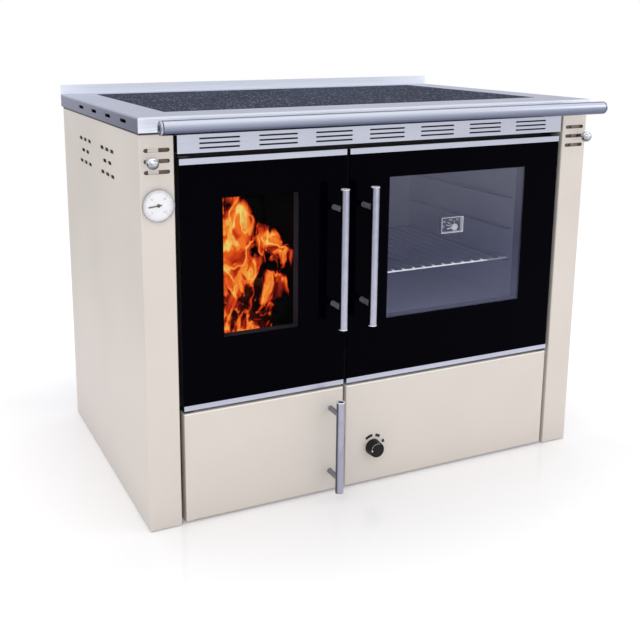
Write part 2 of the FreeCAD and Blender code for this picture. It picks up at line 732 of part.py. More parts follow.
def pressed_frame(door, pane, margin, axis_x, free_x):
    """A glazed door's pressed frame: face, rim, window reveal, seal flange, hinge blocks and catch tab."""
    edge = grow(door, -DOOR_FRAME_IN)
    y0, y1 = GLASS_Y1, GLASS_Y1 + DOOR_SHEET
    inward = 1 if axis_x > free_x else -1
    middle_z = (edge[2] + edge[3]) / 2
    pieces = [
        band(edge, pane, y0, y1),
        band(edge, grow(edge, -DOOR_SHEET), y0, DOOR_DEPTH),
        band(grow(pane, DOOR_SHEET), pane, y0, DOOR_DEPTH),
        band(grow(pane, flange_width(margin)), pane, DOOR_DEPTH - DOOR_SHEET, DOOR_DEPTH),
        hinge_boss(axis_x, y0, edge[2], edge[2] + HINGE_BOSS_H),
        hinge_boss(axis_x, y0, edge[3] - HINGE_BOSS_H, edge[3]),
        slab(catch_tab(free_x, inward, middle_z), DOOR_DEPTH - DOOR_SHEET, DOOR_DEPTH),
    ]
    return joined(pieces).cut(hinge_bores(axis_x, edge[2], edge[3]))


FIRE_AXIS_X = FIRE_X0 + HINGE_IN
OVEN_AXIS_X = OVEN_X1 - HINGE_IN
FIRE_FREE_X = FIRE_X1 - DOOR_FRAME_IN
OVEN_FREE_X = OVEN_X0 + DOOR_FRAME_IN
FIRE_HANDLE_X = FIRE_X1 - FIRE_HANDLE_IN
OVEN_HANDLE_X = OVEN_X0 + OVEN_HANDLE_IN
ASH_HANDLE_X = FIRE_X1 - ASH_HANDLE_IN


def fire_door_frame():
    return pressed_frame(FIRE_DOOR, FIRE_WINDOW, FIRE_HATCH_MARGIN, FIRE_AXIS_X, FIRE_FREE_X)


def oven_door_frame():
    return pressed_frame(OVEN_DOOR, OVEN_WINDOW, OVEN_MARGIN, OVEN_AXIS_X, OVEN_FREE_X)


def post_heights(bottom, up, length, inset):
    return [bottom + up + inset, bottom + up + length - inset]


def door_glass(door, handle_x):
    """The black-printed outer glass, with holes for the handle's posts."""
    pane = box(door[0], door[1], GLASS_Y0, GLASS_Y1, door[2] + TRIM_WEB_T, door[3] - TRIM_WEB_T)
    start, depth = GLASS_Y0 - PAST, GLASS_T + 2 * PAST
    return pane.cut([
        Part.makeCylinder(POST_R + POST_HOLE_GAP, depth, Vector(handle_x, start, z), AXIS_Y)
        for z in post_heights(door[2], UPPER_HANDLE_UP, UPPER_HANDLE_L, UPPER_POST_IN)
    ])


def fire_door_glass():
    return door_glass(FIRE_DOOR, FIRE_HANDLE_X)


def oven_door_glass():
    return door_glass(OVEN_DOOR, OVEN_HANDLE_X)


def fire_door_inner_glass():
    return slab(grow(FIRE_WINDOW, GLASS_LAP), DOOR_DEPTH, DOOR_DEPTH + GLASS_T)


def oven_door_inner_glass():
    return slab(grow(OVEN_WINDOW, GLASS_LAP), DOOR_DEPTH, DOOR_DEPTH + GLASS_T)


def rope_seal(hatch):
    """A rope seal round a hatch, between the door and the front frame."""
    inner = grow(hatch, SEAL_GAP)
    return band(grow(inner, SEAL_W), inner, DOOR_DEPTH, Y_FRAME - SEAL_CLEAR)


def fire_door_seal():
    return rope_seal(FIRE_HATCH)


def oven_door_seal():
    return rope_seal(OVEN_MOUTH)


def ash_door_seal():
    return rope_seal(ASH_HATCH)


def door_trims(door):
    """Angle strips over the top and bottom edges of the glass."""
    x0, x1, z0, z1 = door
    top = joined([
        box(x0, x1, 0, TRIM_T, z1 - TRIM_TOP_H, z1), box(x0, x1, 0, GLASS_Y1, z1 - TRIM_WEB_T, z1)
    ])
    bottom = joined([
        box(x0, x1, 0, TRIM_T, z0, z0 + TRIM_BOTTOM_H), box(x0, x1, 0, GLASS_Y1, z0, z0 + TRIM_WEB_T)
    ])
    return Part.makeCompound([top, bottom])


def fire_door_trims():
    return door_trims(FIRE_DOOR)


def oven_door_trims():
    return door_trims(OVEN_DOOR)


def bar_handle(x, z0, length, posts, seat_y):
    """An upright tube, closed a little way in from its ends, on two round posts."""
    low, high = Vector(x, -HANDLE_OUT, z0), Vector(x, -HANDLE_OUT, z0 + length)
    recess = HANDLE_R - HANDLE_WALL
    deep = AXIS_Z * HANDLE_PLUG_DEPTH
    bar = rod(low, high, HANDLE_R).cut([rod(low, low + deep, recess), rod(high - deep, high, recess)])
    seat = rod(low, high, HANDLE_R + SEAT_GAP)
    arms = [rod(Vector(x, seat_y, z), Vector(x, -HANDLE_OUT, z), POST_R).cut(seat) for z in posts]
    return Part.makeCompound([bar] + arms)


def upper_handle(x):
    posts = post_heights(UPPER_Z0, UPPER_HANDLE_UP, UPPER_HANDLE_L, UPPER_POST_IN)
    return bar_handle(x, UPPER_Z0 + UPPER_HANDLE_UP, UPPER_HANDLE_L, posts, GLASS_Y1)


def fire_door_handle():
    return upper_handle(FIRE_HANDLE_X)


def oven_door_handle():
    return upper_handle(OVEN_HANDLE_X)


def ash_door_handle():
    posts = post_heights(LOWER_Z0, ASH_HANDLE_UP, ASH_HANDLE_L, ASH_POST_IN)
    return bar_handle(ASH_HANDLE_X, LOWER_Z0 + ASH_HANDLE_UP, ASH_HANDLE_L, posts, 0)


def enamel_pan(rect, depth):
    """A shallow pan of painted sheet, open at the back, with rounded front edges."""
    block = slab(rect, 0, depth)
    front = [e for e in block.Edges if e.BoundBox.YMax < depth / 2]
    rounded = block.makeFillet(BEND_R, front)
    return rounded.cut(slab(grow(rect, -PANEL_T), PANEL_T, depth + PAST))


def ash_door_panel():
    pan = enamel_pan(ASH_DOOR, DOOR_DEPTH - LINER_T)
    bosses = [
        hinge_boss(FIRE_AXIS_X, PANEL_T / 2, LOWER_Z0 + PANEL_T / 2, LOWER_Z0 + HINGE_BOSS_H),
        hinge_boss(FIRE_AXIS_X, PANEL_T / 2, LOWER_Z1 - HINGE_BOSS_H, LOWER_Z1 - PANEL_T / 2),
    ]
    return joined([pan] + bosses).cut(hinge_bores(FIRE_AXIS_X, LOWER_Z0, LOWER_Z1))


def ash_door_liner():
    """The flat steel inside of the ash door."""
    return slab(grow(ASH_DOOR, -DOOR_FRAME_IN / 2), DOOR_DEPTH - LINER_T, DOOR_DEPTH)


def lower_panel():
    """The fixed panel under the oven, with the hole for the thermostat's bush."""
    hole = Part.makeCylinder(
        BUSH_R + BUSH_HOLE_GAP, PANEL_T + 2 * PAST, Vector(KNOB_X, -PAST, KNOB_Z), AXIS_Y
    )
    return enamel_pan(LOWER_PANEL, Y_FRAME).cut(hole)


def hinge_plate(axis_x, z0, z1):
    return box(axis_x - HINGE_IN, axis_x + HINGE_IN, HINGE_BACK - HINGE_BOSS_R, Y_FRAME, z0, z1)


def hinge_pin(axis_x, z0, z1):
    return rod(Vector(axis_x, HINGE_BACK, z0), Vector(axis_x, HINGE_BACK, z1), HINGE_PIN_R)


def hinge_brackets():
    """Plates on the front frame over and under the doors, with the pins that the doors turn on."""
    over = UPPER_Z1 + HINGE_PLATE_GAP
    between = UPPER_Z0 - HINGE_PLATE_GAP - HINGE_PLATE_T
    under = LOWER_Z0 - HINGE_PLATE_T - HINGE_PLATE_GAP / 2
    frame_in = HINGE_PIN_DEPTH + DOOR_FRAME_IN
    pieces = []
    for axis_x in (FIRE_AXIS_X, OVEN_AXIS_X):
        pieces.append([
            hinge_plate(axis_x, over, over + HINGE_PLATE_T), hinge_pin(axis_x, UPPER_Z1 - frame_in, over)
        ])
        pieces.append([
            hinge_plate(axis_x, between, between + HINGE_PLATE_T),
            hinge_pin(axis_x, between + HINGE_PLATE_T, UPPER_Z0 + frame_in),
        ])
    pieces[1].append(hinge_pin(FIRE_AXIS_X, LOWER_Z1 - HINGE_PIN_DEPTH, between))
    leg_x0, leg_x1 = FIRE_AXIS_X - HINGE_IN, FIRE_AXIS_X + HINGE_IN
    leg = box(leg_x0, leg_x1, Y_FRAME - HINGE_LEG_T, Y_FRAME, under, BASE_Z1 + HINGE_LEG_H)
    pieces.append([
        hinge_plate(FIRE_AXIS_X, under, under + HINGE_PLATE_T), leg,
        hinge_pin(FIRE_AXIS_X, under + HINGE_PLATE_T, LOWER_Z0 + HINGE_PIN_DEPTH),
    ])
    return Part.makeCompound([joined(group) for group in pieces])


def door_catches():
    """Magnets on the front frame, each facing the steel of a closed door."""
    upper = (UPPER_Z0 + UPPER_Z1) / 2
    lower = (LOWER_Z0 + LOWER_Z1) / 2
    tabs = [
        catch_tab(FIRE_FREE_X, -1, upper), catch_tab(OVEN_FREE_X, 1, upper), catch_tab(FIRE_FREE_X, -1, lower)
    ]
    blocks = []
    for x0, x1, z0, z1 in tabs:
        x, z = (x0 + x1) / 2, (z0 + z1) / 2
        rect = (x - CATCH_W / 2, x + CATCH_W / 2, z - CATCH_H / 2, z + CATCH_H / 2)
        blocks.append(slab(rect, DOOR_DEPTH + CATCH_GAP, Y_FRAME))
    return Part.makeCompound(blocks)


def boiler_inner_shell():
    """The firebox walls on three sides: the wet inside of the boiler."""
    x0, x1, y0, y1 = FIREBOX
    outer = box(x0 - BOILER_WALL, x1 + BOILER_WALL, y0, y1 + BOILER_WALL, BOILER_Z0, BOILER_Z1)
    return outer.cut(box(x0, x1, y0 - PAST, y1, BOILER_Z0 - PAST, BOILER_Z1 + PAST))


def boiler_outer_shell():
    """The outside of the water jacket, with its floor, roof and front ends."""
    x0, x1, y0, y1 = FIREBOX
    wall = BOILER_WALL
    whole = box(BOILER_X0, BOILER_X1, y0, BOILER_Y1, BOILER_Z0, BOILER_Z1)
    inside = box(x0 - wall, x1 + wall, y0 - PAST, y1 + wall, BOILER_Z0 - PAST, BOILER_Z1 + PAST)
    water = box(
        BOILER_X0 + wall, BOILER_X1 - wall, y0 + wall, BOILER_Y1 - wall, BOILER_Z0 + wall, BOILER_Z1 - wall
    )
    holes = [
        Part.makeCylinder(r - SOCKET_STEP, wall + 2 * PAST, Vector(x, BOILER_Y1 - wall - PAST, z), AXIS_Y)
        for x, z, r in socket_places().values()
    ]
    return whole.cut([inside, water] + holes)


def boiler_sockets():
    """Pipe sockets from the jacket to behind the back panel, threaded at the mouth."""
    tubes = []
    for x, z, r in socket_places().values():
        start, mouth = Vector(x, BOILER_Y1, z), Vector(x, SOCKET_Y1, z)
        step = mouth - AXIS_Y * SOCKET_THREAD_L
        tubes.append(rod(start, mouth, r + SOCKET_WALL).cut([
            rod(start, mouth, r - SOCKET_STEP), rod(step, mouth, r)
        ]))
    return Part.makeCompound(tubes)


def grate_frame():
    """The plate that carries the grate and the boiler, open over the ash box."""
    x0, x1, y0, y1 = FIREBOX
    plate = box(BOILER_X0, BOILER_X1, y0, BOILER_Y1, PLATE_Z0, BOILER_Z0)
    a0, a1, b0, b1 = grow(FIREBOX, -GRATE_LEDGE)
    return plate.cut(box(a0, a1, b0, b1, PLATE_Z0 - PAST, BOILER_Z0 + PAST))


def grate():
    """The cast grate: a rim and bars that run from front to back."""
    x0, x1, y0, y1 = grow(FIREBOX, -GRATE_CLEAR)
    plate = box(x0, x1, y0, y1, BOILER_Z0, BOILER_Z0 + GRATE_T)
    pitch = GRATE_BAR + GRATE_SLOT
    count = int((x1 - x0 - 2 * GRATE_RIM) // pitch)
    return plate.cut([
        box(
            FIRE_CX + x - GRATE_SLOT / 2, FIRE_CX + x + GRATE_SLOT / 2, y0 + GRATE_RIM, y1 - GRATE_RIM,
            BOILER_Z0 - PAST, BOILER_Z0 + GRATE_T + PAST,
        )
        for x in spread(count, pitch)
    ])


def ash_box():
    """The sheet box under the grate, with the air inlet and the lugs of its flap."""
    x0, x1 = FIREBOX[0], FIREBOX[1]
    t = ASH_BOX_T
    y1 = Y_INSIDE + ASH_BOX_D
    walls = box(x0 - t, x1 + t, Y_INSIDE, y1, BASE_Z1, PLATE_Z0)
    space = box(x0, x1, Y_INSIDE - PAST, y1 - t, ASH_FLOOR_Z, PLATE_Z0 + PAST)
    below = box(x0, x1, Y_INSIDE - PAST, y1 - t, BASE_Z1 - PAST, ASH_FLOOR_Z - t)
    inlet = box(
        x1 - PAST, x1 + t + PAST, FLAP_Y - FLAP_HOLE_L / 2, FLAP_Y + FLAP_HOLE_L / 2,
        ASH_FLOOR_Z + FLAP_UP - FLAP_HOLE_H / 2, ASH_FLOOR_Z + FLAP_UP + FLAP_HOLE_H / 2,
    )
    lugs, bores = [], []
    for y0 in (FLAP_Y - flap_half() - FLAP_LUG_GAP - FLAP_LUG_T, FLAP_Y + flap_half() + FLAP_LUG_GAP):
        centre = Vector(FLAP_AXIS_X, y0, FLAP_AXIS_Z)
        ear = Part.makeCylinder(FLAP_LUG_R, FLAP_LUG_T, centre, AXIS_Y)
        z0, z1 = FLAP_AXIS_Z - FLAP_LUG_R, FLAP_AXIS_Z + FLAP_LUG_R
        root = box(x1 + t / 2, FLAP_AXIS_X, y0, y0 + FLAP_LUG_T, z0, z1)
        lugs.append(joined([ear, root]).cut(box(x0, x1 + t / 2, y0 - PAST, y1, PLATE_Z0 - y1, PLATE_Z0)))
        bores.append(Part.makeCylinder(
            FLAP_SHAFT_R + FLAP_FIT, FLAP_LUG_T + 2 * PAST, centre - AXIS_Y * PAST, AXIS_Y
        ))
    return joined([walls.cut([space, below, inlet])] + lugs).cut(bores)


def flap_half():
    """Half the air flap's length, which covers the inlet and laps it."""
    return FLAP_HOLE_L / 2 + FLAP_LAP


def air_flap():
    """The plate over the air inlet, hung from a shaft along its top edge."""
    x0 = FLAP_WALL_X + FLAP_GAP
    z0 = ASH_FLOOR_Z + FLAP_UP - FLAP_HOLE_H / 2 - FLAP_LAP
    plate = box(x0, x0 + FLAP_T, FLAP_Y - flap_half(), FLAP_Y + flap_half(), z0, FLAP_AXIS_Z)
    reach = flap_half() + FLAP_LUG_GAP + FLAP_LUG_T
    ends = [Vector(FLAP_AXIS_X, FLAP_Y + side * reach, FLAP_AXIS_Z) for side in (-1, 1)]
    return joined([plate, rod(*ends, FLAP_SHAFT_R)])


def ash_pan():
    """The loose tray under the grate, welded from plates, with a lip to pull it by."""
    x0, x1 = ASH_HATCH[0] + ASH_PAN_CLEAR, ASH_HATCH[1] - ASH_PAN_CLEAR
    y0, y1 = Y_INSIDE + ASH_LIP_D, Y_INSIDE + ASH_BOX_D - ASH_BOX_T - ASH_PAN_BACK_CLEAR
    z0, z1 = ASH_FLOOR_Z, ASH_FLOOR_Z + ASH_PAN_H
    t = ASH_PAN_T
    return Part.makeCompound([
        box(x0, x1, y0, y1, z0, z0 + t),
        box(x0, x0 + t, y0, y1, z0 + t, z1),
        box(x1 - t, x1, y0, y1, z0 + t, z1),
        box(x0 + t, x1 - t, y0, y0 + t, z0 + t, z1),
        box(x0 + t, x1 - t, y1 - t, y1, z0 + t, z1),
        box(FIRE_CX - ASH_LIP_W / 2, FIRE_CX + ASH_LIP_W / 2, y0 - ASH_LIP_D, y0, z1 - t, z1),
    ])


def smoke_chest():
    """The welded flue way under the hob: over the firebox, over the oven and down behind it to the collar."""
    t = CHEST_T
    firebox_x0, firebox_x1, firebox_y0, firebox_y1 = FIREBOX
    well_x0 = BOILER_X1 + t
    flue_box_x = FLUE_R + FLUE_T + FLUE_BOX_MARGIN
    flue_box_y = OVEN_OUT_Y1 + FLUE_BOX_GAP
    flue_box_z = FLUE_Z - FLUE_R - FLUE_T - FLUE_BOX_MARGIN
    spaces = [
        (-CHEST_X, CHEST_X, Y_INSIDE, CHEST_Y1, BOILER_Z1, LIP_Z0),
        (well_x0, CHEST_X, Y_INSIDE, CHEST_Y1, OVEN_OUT_Z1, BOILER_Z1 + t),
        (FLUE_X - flue_box_x, FLUE_X + flue_box_x, flue_box_y, CHEST_Y1, flue_box_z, OVEN_OUT_Z1 + t),
    ]
    outer = [box(*space) for space in spaces]
    inner = [
        box(x0 + t, x1 - t, y0 + t, y1 - t, z0 + t, z1 + t) for x0, x1, y0, y1, z0, z1 in spaces
    ]
    throat = box(firebox_x0, firebox_x1, Y_INSIDE + t, firebox_y1, BOILER_Z1 - PAST, BOILER_Z1 + t + PAST)
    outlet_start = Vector(FLUE_X, CHEST_Y1 - t - PAST, FLUE_Z)
    outlet = Part.makeCylinder(FLUE_R - FLUE_STOP, 2 * t + PAST, outlet_start, AXIS_Y)
    return joined(outer).cut(inner + [throat, outlet])


def flue_collar():
    """The round collar that the flue pipe slides into, behind the back panel."""
    start, end = Vector(FLUE_X, CHEST_Y1, FLUE_Z), Vector(FLUE_X, FLUE_Y1, FLUE_Z)
    return rod(start, end, FLUE_R + FLUE_T).cut(rod(start, end, FLUE_R))


def oven_box():
    """The oven's sheet box, open at the front."""
    outer = slab(grow(OVEN_MOUTH, OVEN_T), Y_INSIDE, OVEN_OUT_Y1)
    return outer.cut(slab(OVEN_MOUTH, Y_INSIDE - PAST, OVEN_OUT_Y1 - OVEN_T))


def rack_runners():
    """Ledges on both oven walls, at three heights."""
    y0, y1 = Y_INSIDE + RUNNER_END, OVEN_OUT_Y1 - OVEN_T - RUNNER_END
    ledges = []
    for level in RUNNER_LEVELS:
        z1 = RACK_Z - RACK_ROD_R + level * RUNNER_PITCH
        for x0, x1 in ((OVEN_MOUTH[0], OVEN_MOUTH[0] + RUNNER_W), (OVEN_MOUTH[1] - RUNNER_W, OVEN_MOUTH[1])):
            ledges.append(box(x0, x1, y0, y1, z1 - RUNNER_T, z1))
    return Part.makeCompound(ledges)


def oven_rack():
    """The wire rack: a rod frame with wires laid over its front and back rods."""
    x0, x1 = OVEN_MOUTH[0] + RACK_SIDE_CLEAR + RACK_ROD_R, OVEN_MOUTH[1] - RACK_SIDE_CLEAR - RACK_ROD_R
    y0, y1 = Y_INSIDE + RACK_FRONT, OVEN_OUT_Y1 - OVEN_T - RACK_BACK
    corners = [Vector(x, y, RACK_Z) for x, y in ((x0, y0), (x1, y0), (x1, y1), (x0, y1))]
    rods = [rod(corners[i], corners[(i + 1) % 4], RACK_ROD_R) for i in range(4)]
    knuckles = [Part.makeSphere(RACK_ROD_R, corner) for corner in corners]
    wire_z = RACK_Z + RACK_ROD_R
    count = int((x1 - x0) // RACK_PITCH)
    middle = (x0 + x1) / 2
    wire_y0, wire_y1 = y0 - RACK_WIRE_R, y1 + RACK_WIRE_R
    wires = [
        rod(Vector(middle + x, wire_y0, wire_z), Vector(middle + x, wire_y1, wire_z), RACK_WIRE_R)
        for x in spread(count, RACK_PITCH)
    ]
    return rods[0].fuse(rods[1:] + knuckles + wires)


def oven_thermometer():
    """A shallow tray on the back of the oven's outer glass, with a dial for its floor."""
    x0, x1 = THERMO_X - THERMO_W / 2, THERMO_X + THERMO_W / 2
    z0, z1 = THERMO_Z - THERMO_H / 2, THERMO_Z + THERMO_H / 2
    rect = (x0, x1, z0, z1)
    case = slab(rect, GLASS_Y1, GLASS_Y1 + THERMO_D)
    space = slab(grow(rect, -THERMO_WALL), GLASS_Y1 - PAST, THERMO_FLOOR_Y)
    hub = Vector(THERMO_X + THERMO_HUB_X, THERMO_FLOOR_Y - PAST, THERMO_Z + THERMO_HUB_Z)
    bore = Part.makeCylinder(POINTER_SHAFT_R + POINTER_FIT, THERMO_WALL + 2 * PAST, hub, AXIS_Y)
    return case.cut([space, bore])


def pointer(centre, length, tail, angle, hub_r, shaft_l):
    """A thin pointer with its hub and its shaft. The angle is seen from the front, from +X upwards."""
    back = POINTER_T / 2
    blade = box(-tail, length, -back, back, -POINTER_W / 2, POINTER_W / 2)
    blade.rotate(Vector(0, 0, 0), AXIS_Y, -angle)
    hub = Part.makeCylinder(hub_r, POINTER_T, Vector(0, -back, 0), AXIS_Y)
    shaft = Part.makeCylinder(POINTER_SHAFT_R, shaft_l, Vector(0, 0, 0), AXIS_Y)
    shape = joined([blade, hub, shaft])
    shape.translate(centre)
    return shape


def oven_needle():
    y = THERMO_FLOOR_Y - GAUGE_POINTER_LIFT
    centre = Vector(THERMO_X + THERMO_HUB_X, y, THERMO_Z + THERMO_HUB_Z)
    shaft_l = GAUGE_POINTER_LIFT + THERMO_WALL
    return pointer(centre, THERMO_POINTER_L, 0, GAUGE_POINTER_DEG, THERMO_HUB_R, shaft_l)


def gauge_disc(radius, y0, y1):
    return Part.makeCylinder(radius, y1 - y0, Vector(-COLUMN_CX, y0, GAUGE_Z), AXIS_Y)


def gauge_case():
    """The dial thermometer's cup: a rim in front of the column and a round body behind it."""
    rim = gauge_disc(GAUGE_R, -GAUGE_RIM_H, 0)
    front = [e for e in rim.Edges if e.Closed and e.BoundBox.YMax < -GAUGE_RIM_H / 2]
    body = gauge_disc(GAUGE_BODY_R, -GAUGE_FLOOR_T, GAUGE_BODY_L)
    well = gauge_disc(GAUGE_FACE_R + GAUGE_FACE_GAP, -GAUGE_RIM_H - PAST, -GAUGE_FLOOR_T)
    bore = gauge_disc(POINTER_SHAFT_R + POINTER_FIT, -GAUGE_RIM_H, GAUGE_BODY_L / 2)
    return joined([rim.makeFillet(PAST, front), body]).cut([well, bore])


def gauge_dial():
    face = gauge_disc(GAUGE_FACE_R, -GAUGE_FLOOR_T - GAUGE_DIAL_T, -GAUGE_FLOOR_T)
    return face.cut(gauge_disc(POINTER_SHAFT_R + SEAT_GAP, -GAUGE_RIM_H, 0))


def gauge_glass():
    y0 = -GAUGE_RIM_H + GAUGE_GLASS_IN
    return gauge_disc(GAUGE_FACE_R, y0, y0 + GAUGE_GLASS_T)


def gauge_needle():
    y = -GAUGE_FLOOR_T - GAUGE_DIAL_T - GAUGE_POINTER_LIFT
    centre = Vector(-COLUMN_CX, y, GAUGE_Z)
    shaft_l = GAUGE_BODY_L / 2 - GAUGE_FLOOR_T
    return pointer(centre, GAUGE_POINTER_L, GAUGE_POINTER_TAIL, GAUGE_POINTER_DEG, GAUGE_HUB_R, shaft_l)


LEFT_SLIDE_X = -COLUMN_CX + LEFT_SLIDE_SHIFT
RIGHT_SLIDE_X = COLUMN_CX + RIGHT_SLIDE_SHIFT
SLIDE_Y0 = PANEL_T + SLIDE_GAP
SLIDE_Y1 = SLIDE_Y0 + SLIDE_T


def slide_plate(x, inward):
    """The shutter behind a column's slots, with a tongue for the stem of its ball."""
    middle = x + inward * SLIDE_INWARD
    plate = (middle - SLIDE_W / 2, middle + SLIDE_W / 2, SLOT_Z - SLIDE_H / 2, SLOT_Z + SLIDE_H / 2)
    x0, x1 = sorted((x - inward * SLIDE_TONGUE, middle))
    tongue = (x0, x1, SLOT_Z - SLIDE_TONGUE, SLOT_Z + SLIDE_TONGUE)
    hole = rod(Vector(x, SLIDE_Y0 - PAST, SLOT_Z), Vector(x, SLIDE_Y1 + PAST, SLOT_Z), STEM_R + SEAT_GAP)
    return joined([slab(plate, SLIDE_Y0, SLIDE_Y1), slab(tongue, SLIDE_Y0, SLIDE_Y1)]).cut(hole)


def left_slide_plate():
    return slide_plate(LEFT_SLIDE_X, 1)


def right_slide_plate():
    return slide_plate(RIGHT_SLIDE_X, -1)


def ball_knob(x):
    """A ball on a stem that runs through the middle slot to the shutter."""
    ball = Vector(x, -BALL_OUT, SLOT_Z)
    return joined([Part.makeSphere(BALL_R, ball), rod(Vector(x, SLIDE_Y1, SLOT_Z), ball, STEM_R)])


def left_slide_knob():
    return ball_knob(LEFT_SLIDE_X)


def right_slide_knob():
    return ball_knob(RIGHT_SLIDE_X)


def slide_guides():
    """Angle strips on the backs of the columns that hold the shutters by their top and bottom edges."""
    x0, x1 = -X_SIDE + PANEL_T + GUIDE_END, -X_COLUMN - PANEL_T - GUIDE_END
    lip_y = SLIDE_Y1 + SLIDE_GAP
    edge = SLIDE_H / 2 + SLIDE_GAP
    strips = []
    for side in (-1, 1):
        foot_z = sorted((SLOT_Z + side * edge, SLOT_Z + side * (edge + GUIDE_H)))
        lip_z = sorted((SLOT_Z + side * (edge - GUIDE_LAP), SLOT_Z + side * (edge + GUIDE_H)))
        strips.append(joined([
            box(x0, x1, PANEL_T, lip_y + GUIDE_T, *foot_z), box(x0, x1, lip_y, lip_y + GUIDE_T, *lip_z)
        ]))
    return Part.makeCompound(strips + [mirrored(strip) for strip in strips])


def thermostat_body():
    """The draught thermostat behind the lower panel, with the bush that holds the knob's shaft."""
    half_w, half_h = THERMOSTAT_W / 2, THERMOSTAT_H / 2
    rect = (KNOB_X - half_w, KNOB_X + half_w, KNOB_Z - half_h, KNOB_Z + half_h)
    bush = Part.makeCylinder(BUSH_R, PANEL_T * 2, Vector(KNOB_X, 0, KNOB_Z), AXIS_Y)
    bore = Part.makeCylinder(
        KNOB_SHAFT_R + KNOB_SHAFT_FIT, KNOB_SHAFT_L + KNOB_GAP + PAST, Vector(KNOB_X, -PAST, KNOB_Z), AXIS_Y
    )
    return joined([slab(rect, PANEL_T, PANEL_T + THERMOSTAT_D), bush]).cut(bore)


def thermostat_knob():
    """A slightly tapered round knob with its shaft."""
    back = -KNOB_GAP
    grip = Part.makeCone(KNOB_FACE_R, KNOB_BASE_R, KNOB_H, Vector(KNOB_X, back - KNOB_H, KNOB_Z), AXIS_Y)
    rim = [e for e in grip.Edges if e.Closed and e.BoundBox.YMax < back - KNOB_H / 2]
    shaft = rod(Vector(KNOB_X, back, KNOB_Z), Vector(KNOB_X, back + KNOB_SHAFT_L, KNOB_Z), KNOB_SHAFT_R)
    return joined([grip.makeFillet(KNOB_EDGE_R, rim), shaft])


SUB_PARTS = [
    side_panel_left, side_panel_right, back_panel, base_plate, levelling_feet, front_frame, top_frame, hob_plate,
    hob_seal, rail_tube, rail_end_caps, rail_brackets, vent_fascia, vent_screen, lower_panel, hinge_brackets,
    door_catches, boiler_outer_shell, boiler_inner_shell, boiler_sockets, grate_frame, grate, ash_box, ash_pan,
    air_flap, smoke_chest, flue_collar, oven_box, rack_runners, oven_rack, fire_door_frame, fire_door_glass,
    fire_door_inner_glass, fire_door_seal, fire_door_trims, fire_door_handle, oven_door_frame, oven_door_glass,
    oven_door_inner_glass, oven_door_seal, oven_door_trims, oven_door_handle, oven_thermometer, oven_needle,
    ash_door_panel, ash_door_liner, ash_door_seal, ash_door_handle, gauge_case, gauge_dial, gauge_glass,
    gauge_needle, left_slide_plate, left_slide_knob, right_slide_plate, right_slide_knob, slide_guides,
    thermostat_body, thermostat_knob,
]


def save(make):
    """Writes one sub-part under its function's name, moved to the stove's own origin."""
    shape = make()
    shape.translate(Vector(0, -Y_MID, 0))
    shape.exportStep(f"parts/{make.__name__}.step")
    print(make.__name__, len(shape.Solids), round(sum(s.Volume for s in shape.Solids)), shape.isValid())


os.makedirs("parts", exist_ok=True)
for sub_part in SUB_PARTS:
    save(sub_part)
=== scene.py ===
import math

import bmesh
import bpy
from mathutils import Matrix, Vector


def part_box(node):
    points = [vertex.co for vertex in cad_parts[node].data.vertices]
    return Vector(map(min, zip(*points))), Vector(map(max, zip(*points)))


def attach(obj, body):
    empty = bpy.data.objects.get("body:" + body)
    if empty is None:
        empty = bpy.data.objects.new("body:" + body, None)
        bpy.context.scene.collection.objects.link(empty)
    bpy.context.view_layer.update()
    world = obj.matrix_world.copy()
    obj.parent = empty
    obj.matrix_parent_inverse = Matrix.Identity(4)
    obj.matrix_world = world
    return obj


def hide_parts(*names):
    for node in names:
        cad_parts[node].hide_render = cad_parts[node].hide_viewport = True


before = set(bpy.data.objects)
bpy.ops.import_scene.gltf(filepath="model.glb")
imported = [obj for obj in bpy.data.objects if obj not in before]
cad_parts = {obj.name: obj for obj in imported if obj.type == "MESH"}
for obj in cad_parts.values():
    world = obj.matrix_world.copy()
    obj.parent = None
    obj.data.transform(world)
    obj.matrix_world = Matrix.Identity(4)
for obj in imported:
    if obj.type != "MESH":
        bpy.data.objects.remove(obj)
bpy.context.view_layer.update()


# Cream casing: two sides, each folded round into a front column, the fixed panel under the oven and the
# pan of the ash door. Sheet steel in a satin cream enamel with a faint orange peel. The shutter of the
# left air slide is enamelled with them.

